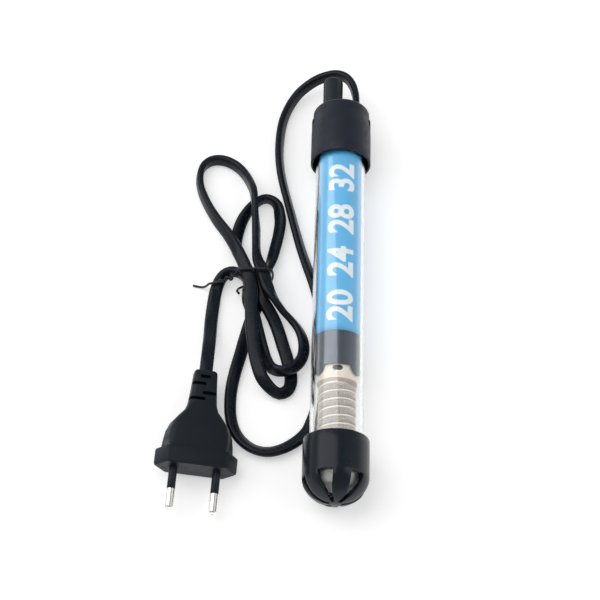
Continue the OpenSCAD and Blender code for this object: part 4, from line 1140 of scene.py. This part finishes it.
def combined(surface, operation, first, second):
    """A maths node's result for two sockets."""
    node = surface.nodes.new("ShaderNodeMath")
    node.operation = operation
    surface.links.new(first, node.inputs[0])
    surface.links.new(second, node.inputs[1])
    return node.outputs["Value"]


def make_floor():
    """A pale floor that looks white to the camera and keeps the shadow."""
    surface = Surface("pale_floor", 0.85)
    surface.colour(srgb(236, 236, 236), 0.008, size=60)
    rays = surface.nodes.new("ShaderNodeLightPath").outputs
    glow = surface.nodes.new("ShaderNodeValue").outputs["Value"]
    glow.default_value = FLOOR_GLOW
    seen = combined(surface, "MAXIMUM", rays["Is Camera Ray"], rays["Is Transmission Ray"])
    seen = combined(surface, "MAXIMUM", seen, rays["Is Glossy Ray"])
    strength = combined(surface, "MULTIPLY", seen, glow)
    surface.shader.inputs["Emission Color"].default_value = (1, 1, 1, 1)
    surface.links.new(strength, surface.shader.inputs["Emission Strength"])
    mesh = bpy.data.meshes.new("floor")
    reach = FLOOR_REACH
    mesh.from_pydata([(-reach, -reach, 0), (reach, -reach, 0), (reach, reach, 0), (-reach, reach, 0)],
                     [], [(0, 1, 2, 3)])
    mesh.materials.append(surface.material)
    floor = placed("floor", mesh)
    floor.location.z = -FLOOR_DROP


def make_lamp(name, place, target, size_x, size_y, power):
    """A soft rectangular lamp that faces the target."""
    data = bpy.data.lights.new(name, "AREA")
    data.shape = "RECTANGLE"
    data.size = size_x
    data.size_y = size_y
    data.energy = power
    lamp = placed(name, data)
    lamp.location = place
    way = Vector(place) - Vector(target)
    lamp.rotation_euler = way.to_track_quat("Z", "Y").to_euler()


def make_world():
    """A pale world, brighter towards the horizon and white where it is seen."""
    world = bpy.data.worlds.new("world")
    world.use_nodes = True
    bpy.context.scene.world = world
    nodes = world.node_tree.nodes
    links = world.node_tree.links
    background = nodes["Background"]
    background.inputs["Color"].default_value = (1, 1, 1, 1)
    way = nodes.new("ShaderNodeSeparateXYZ")
    links.new(nodes.new("ShaderNodeTexCoord").outputs["Generated"], way.inputs["Vector"])
    height = nodes.new("ShaderNodeMapRange")
    height.inputs["To Min"].default_value = HORIZON_LIGHT
    height.inputs["To Max"].default_value = ZENITH_LIGHT
    links.new(way.outputs["Z"], height.inputs["Value"])
    seen = nodes.new("ShaderNodeMix")
    links.new(nodes.new("ShaderNodeLightPath").outputs["Is Camera Ray"], seen.inputs["Factor"])
    links.new(height.outputs["Result"], seen.inputs["A"])
    seen.inputs["B"].default_value = 1.0
    links.new(seen.outputs["Result"], background.inputs["Strength"])


def make_lights():
    """A large soft key from the upper left and a weaker fill from the right."""
    middle = (-0.01, 0, 0.01)
    make_lamp("key", (-0.5, 0.15, 0.8), middle, 0.9, 1.2, 5.6)
    make_lamp("fill", (0.75, -0.05, 0.45), middle, 0.4, 1.0, 1.8)


# ---------------------------------------------------------------- the scene

bpy.context.scene.view_settings.view_transform = "Standard"
make_camera()
materials = make_materials()
cord, cord_path = make_cord()
tie = make_tie()
make_guard()
make_cap()
make_knob()
make_grommet()
make_glass()
make_label()
make_winding()
make_ridge()
plug = make_plug_body()
pins, sleeves = make_pins()
dress_nodes()
make_floor()
make_world()
make_lights()
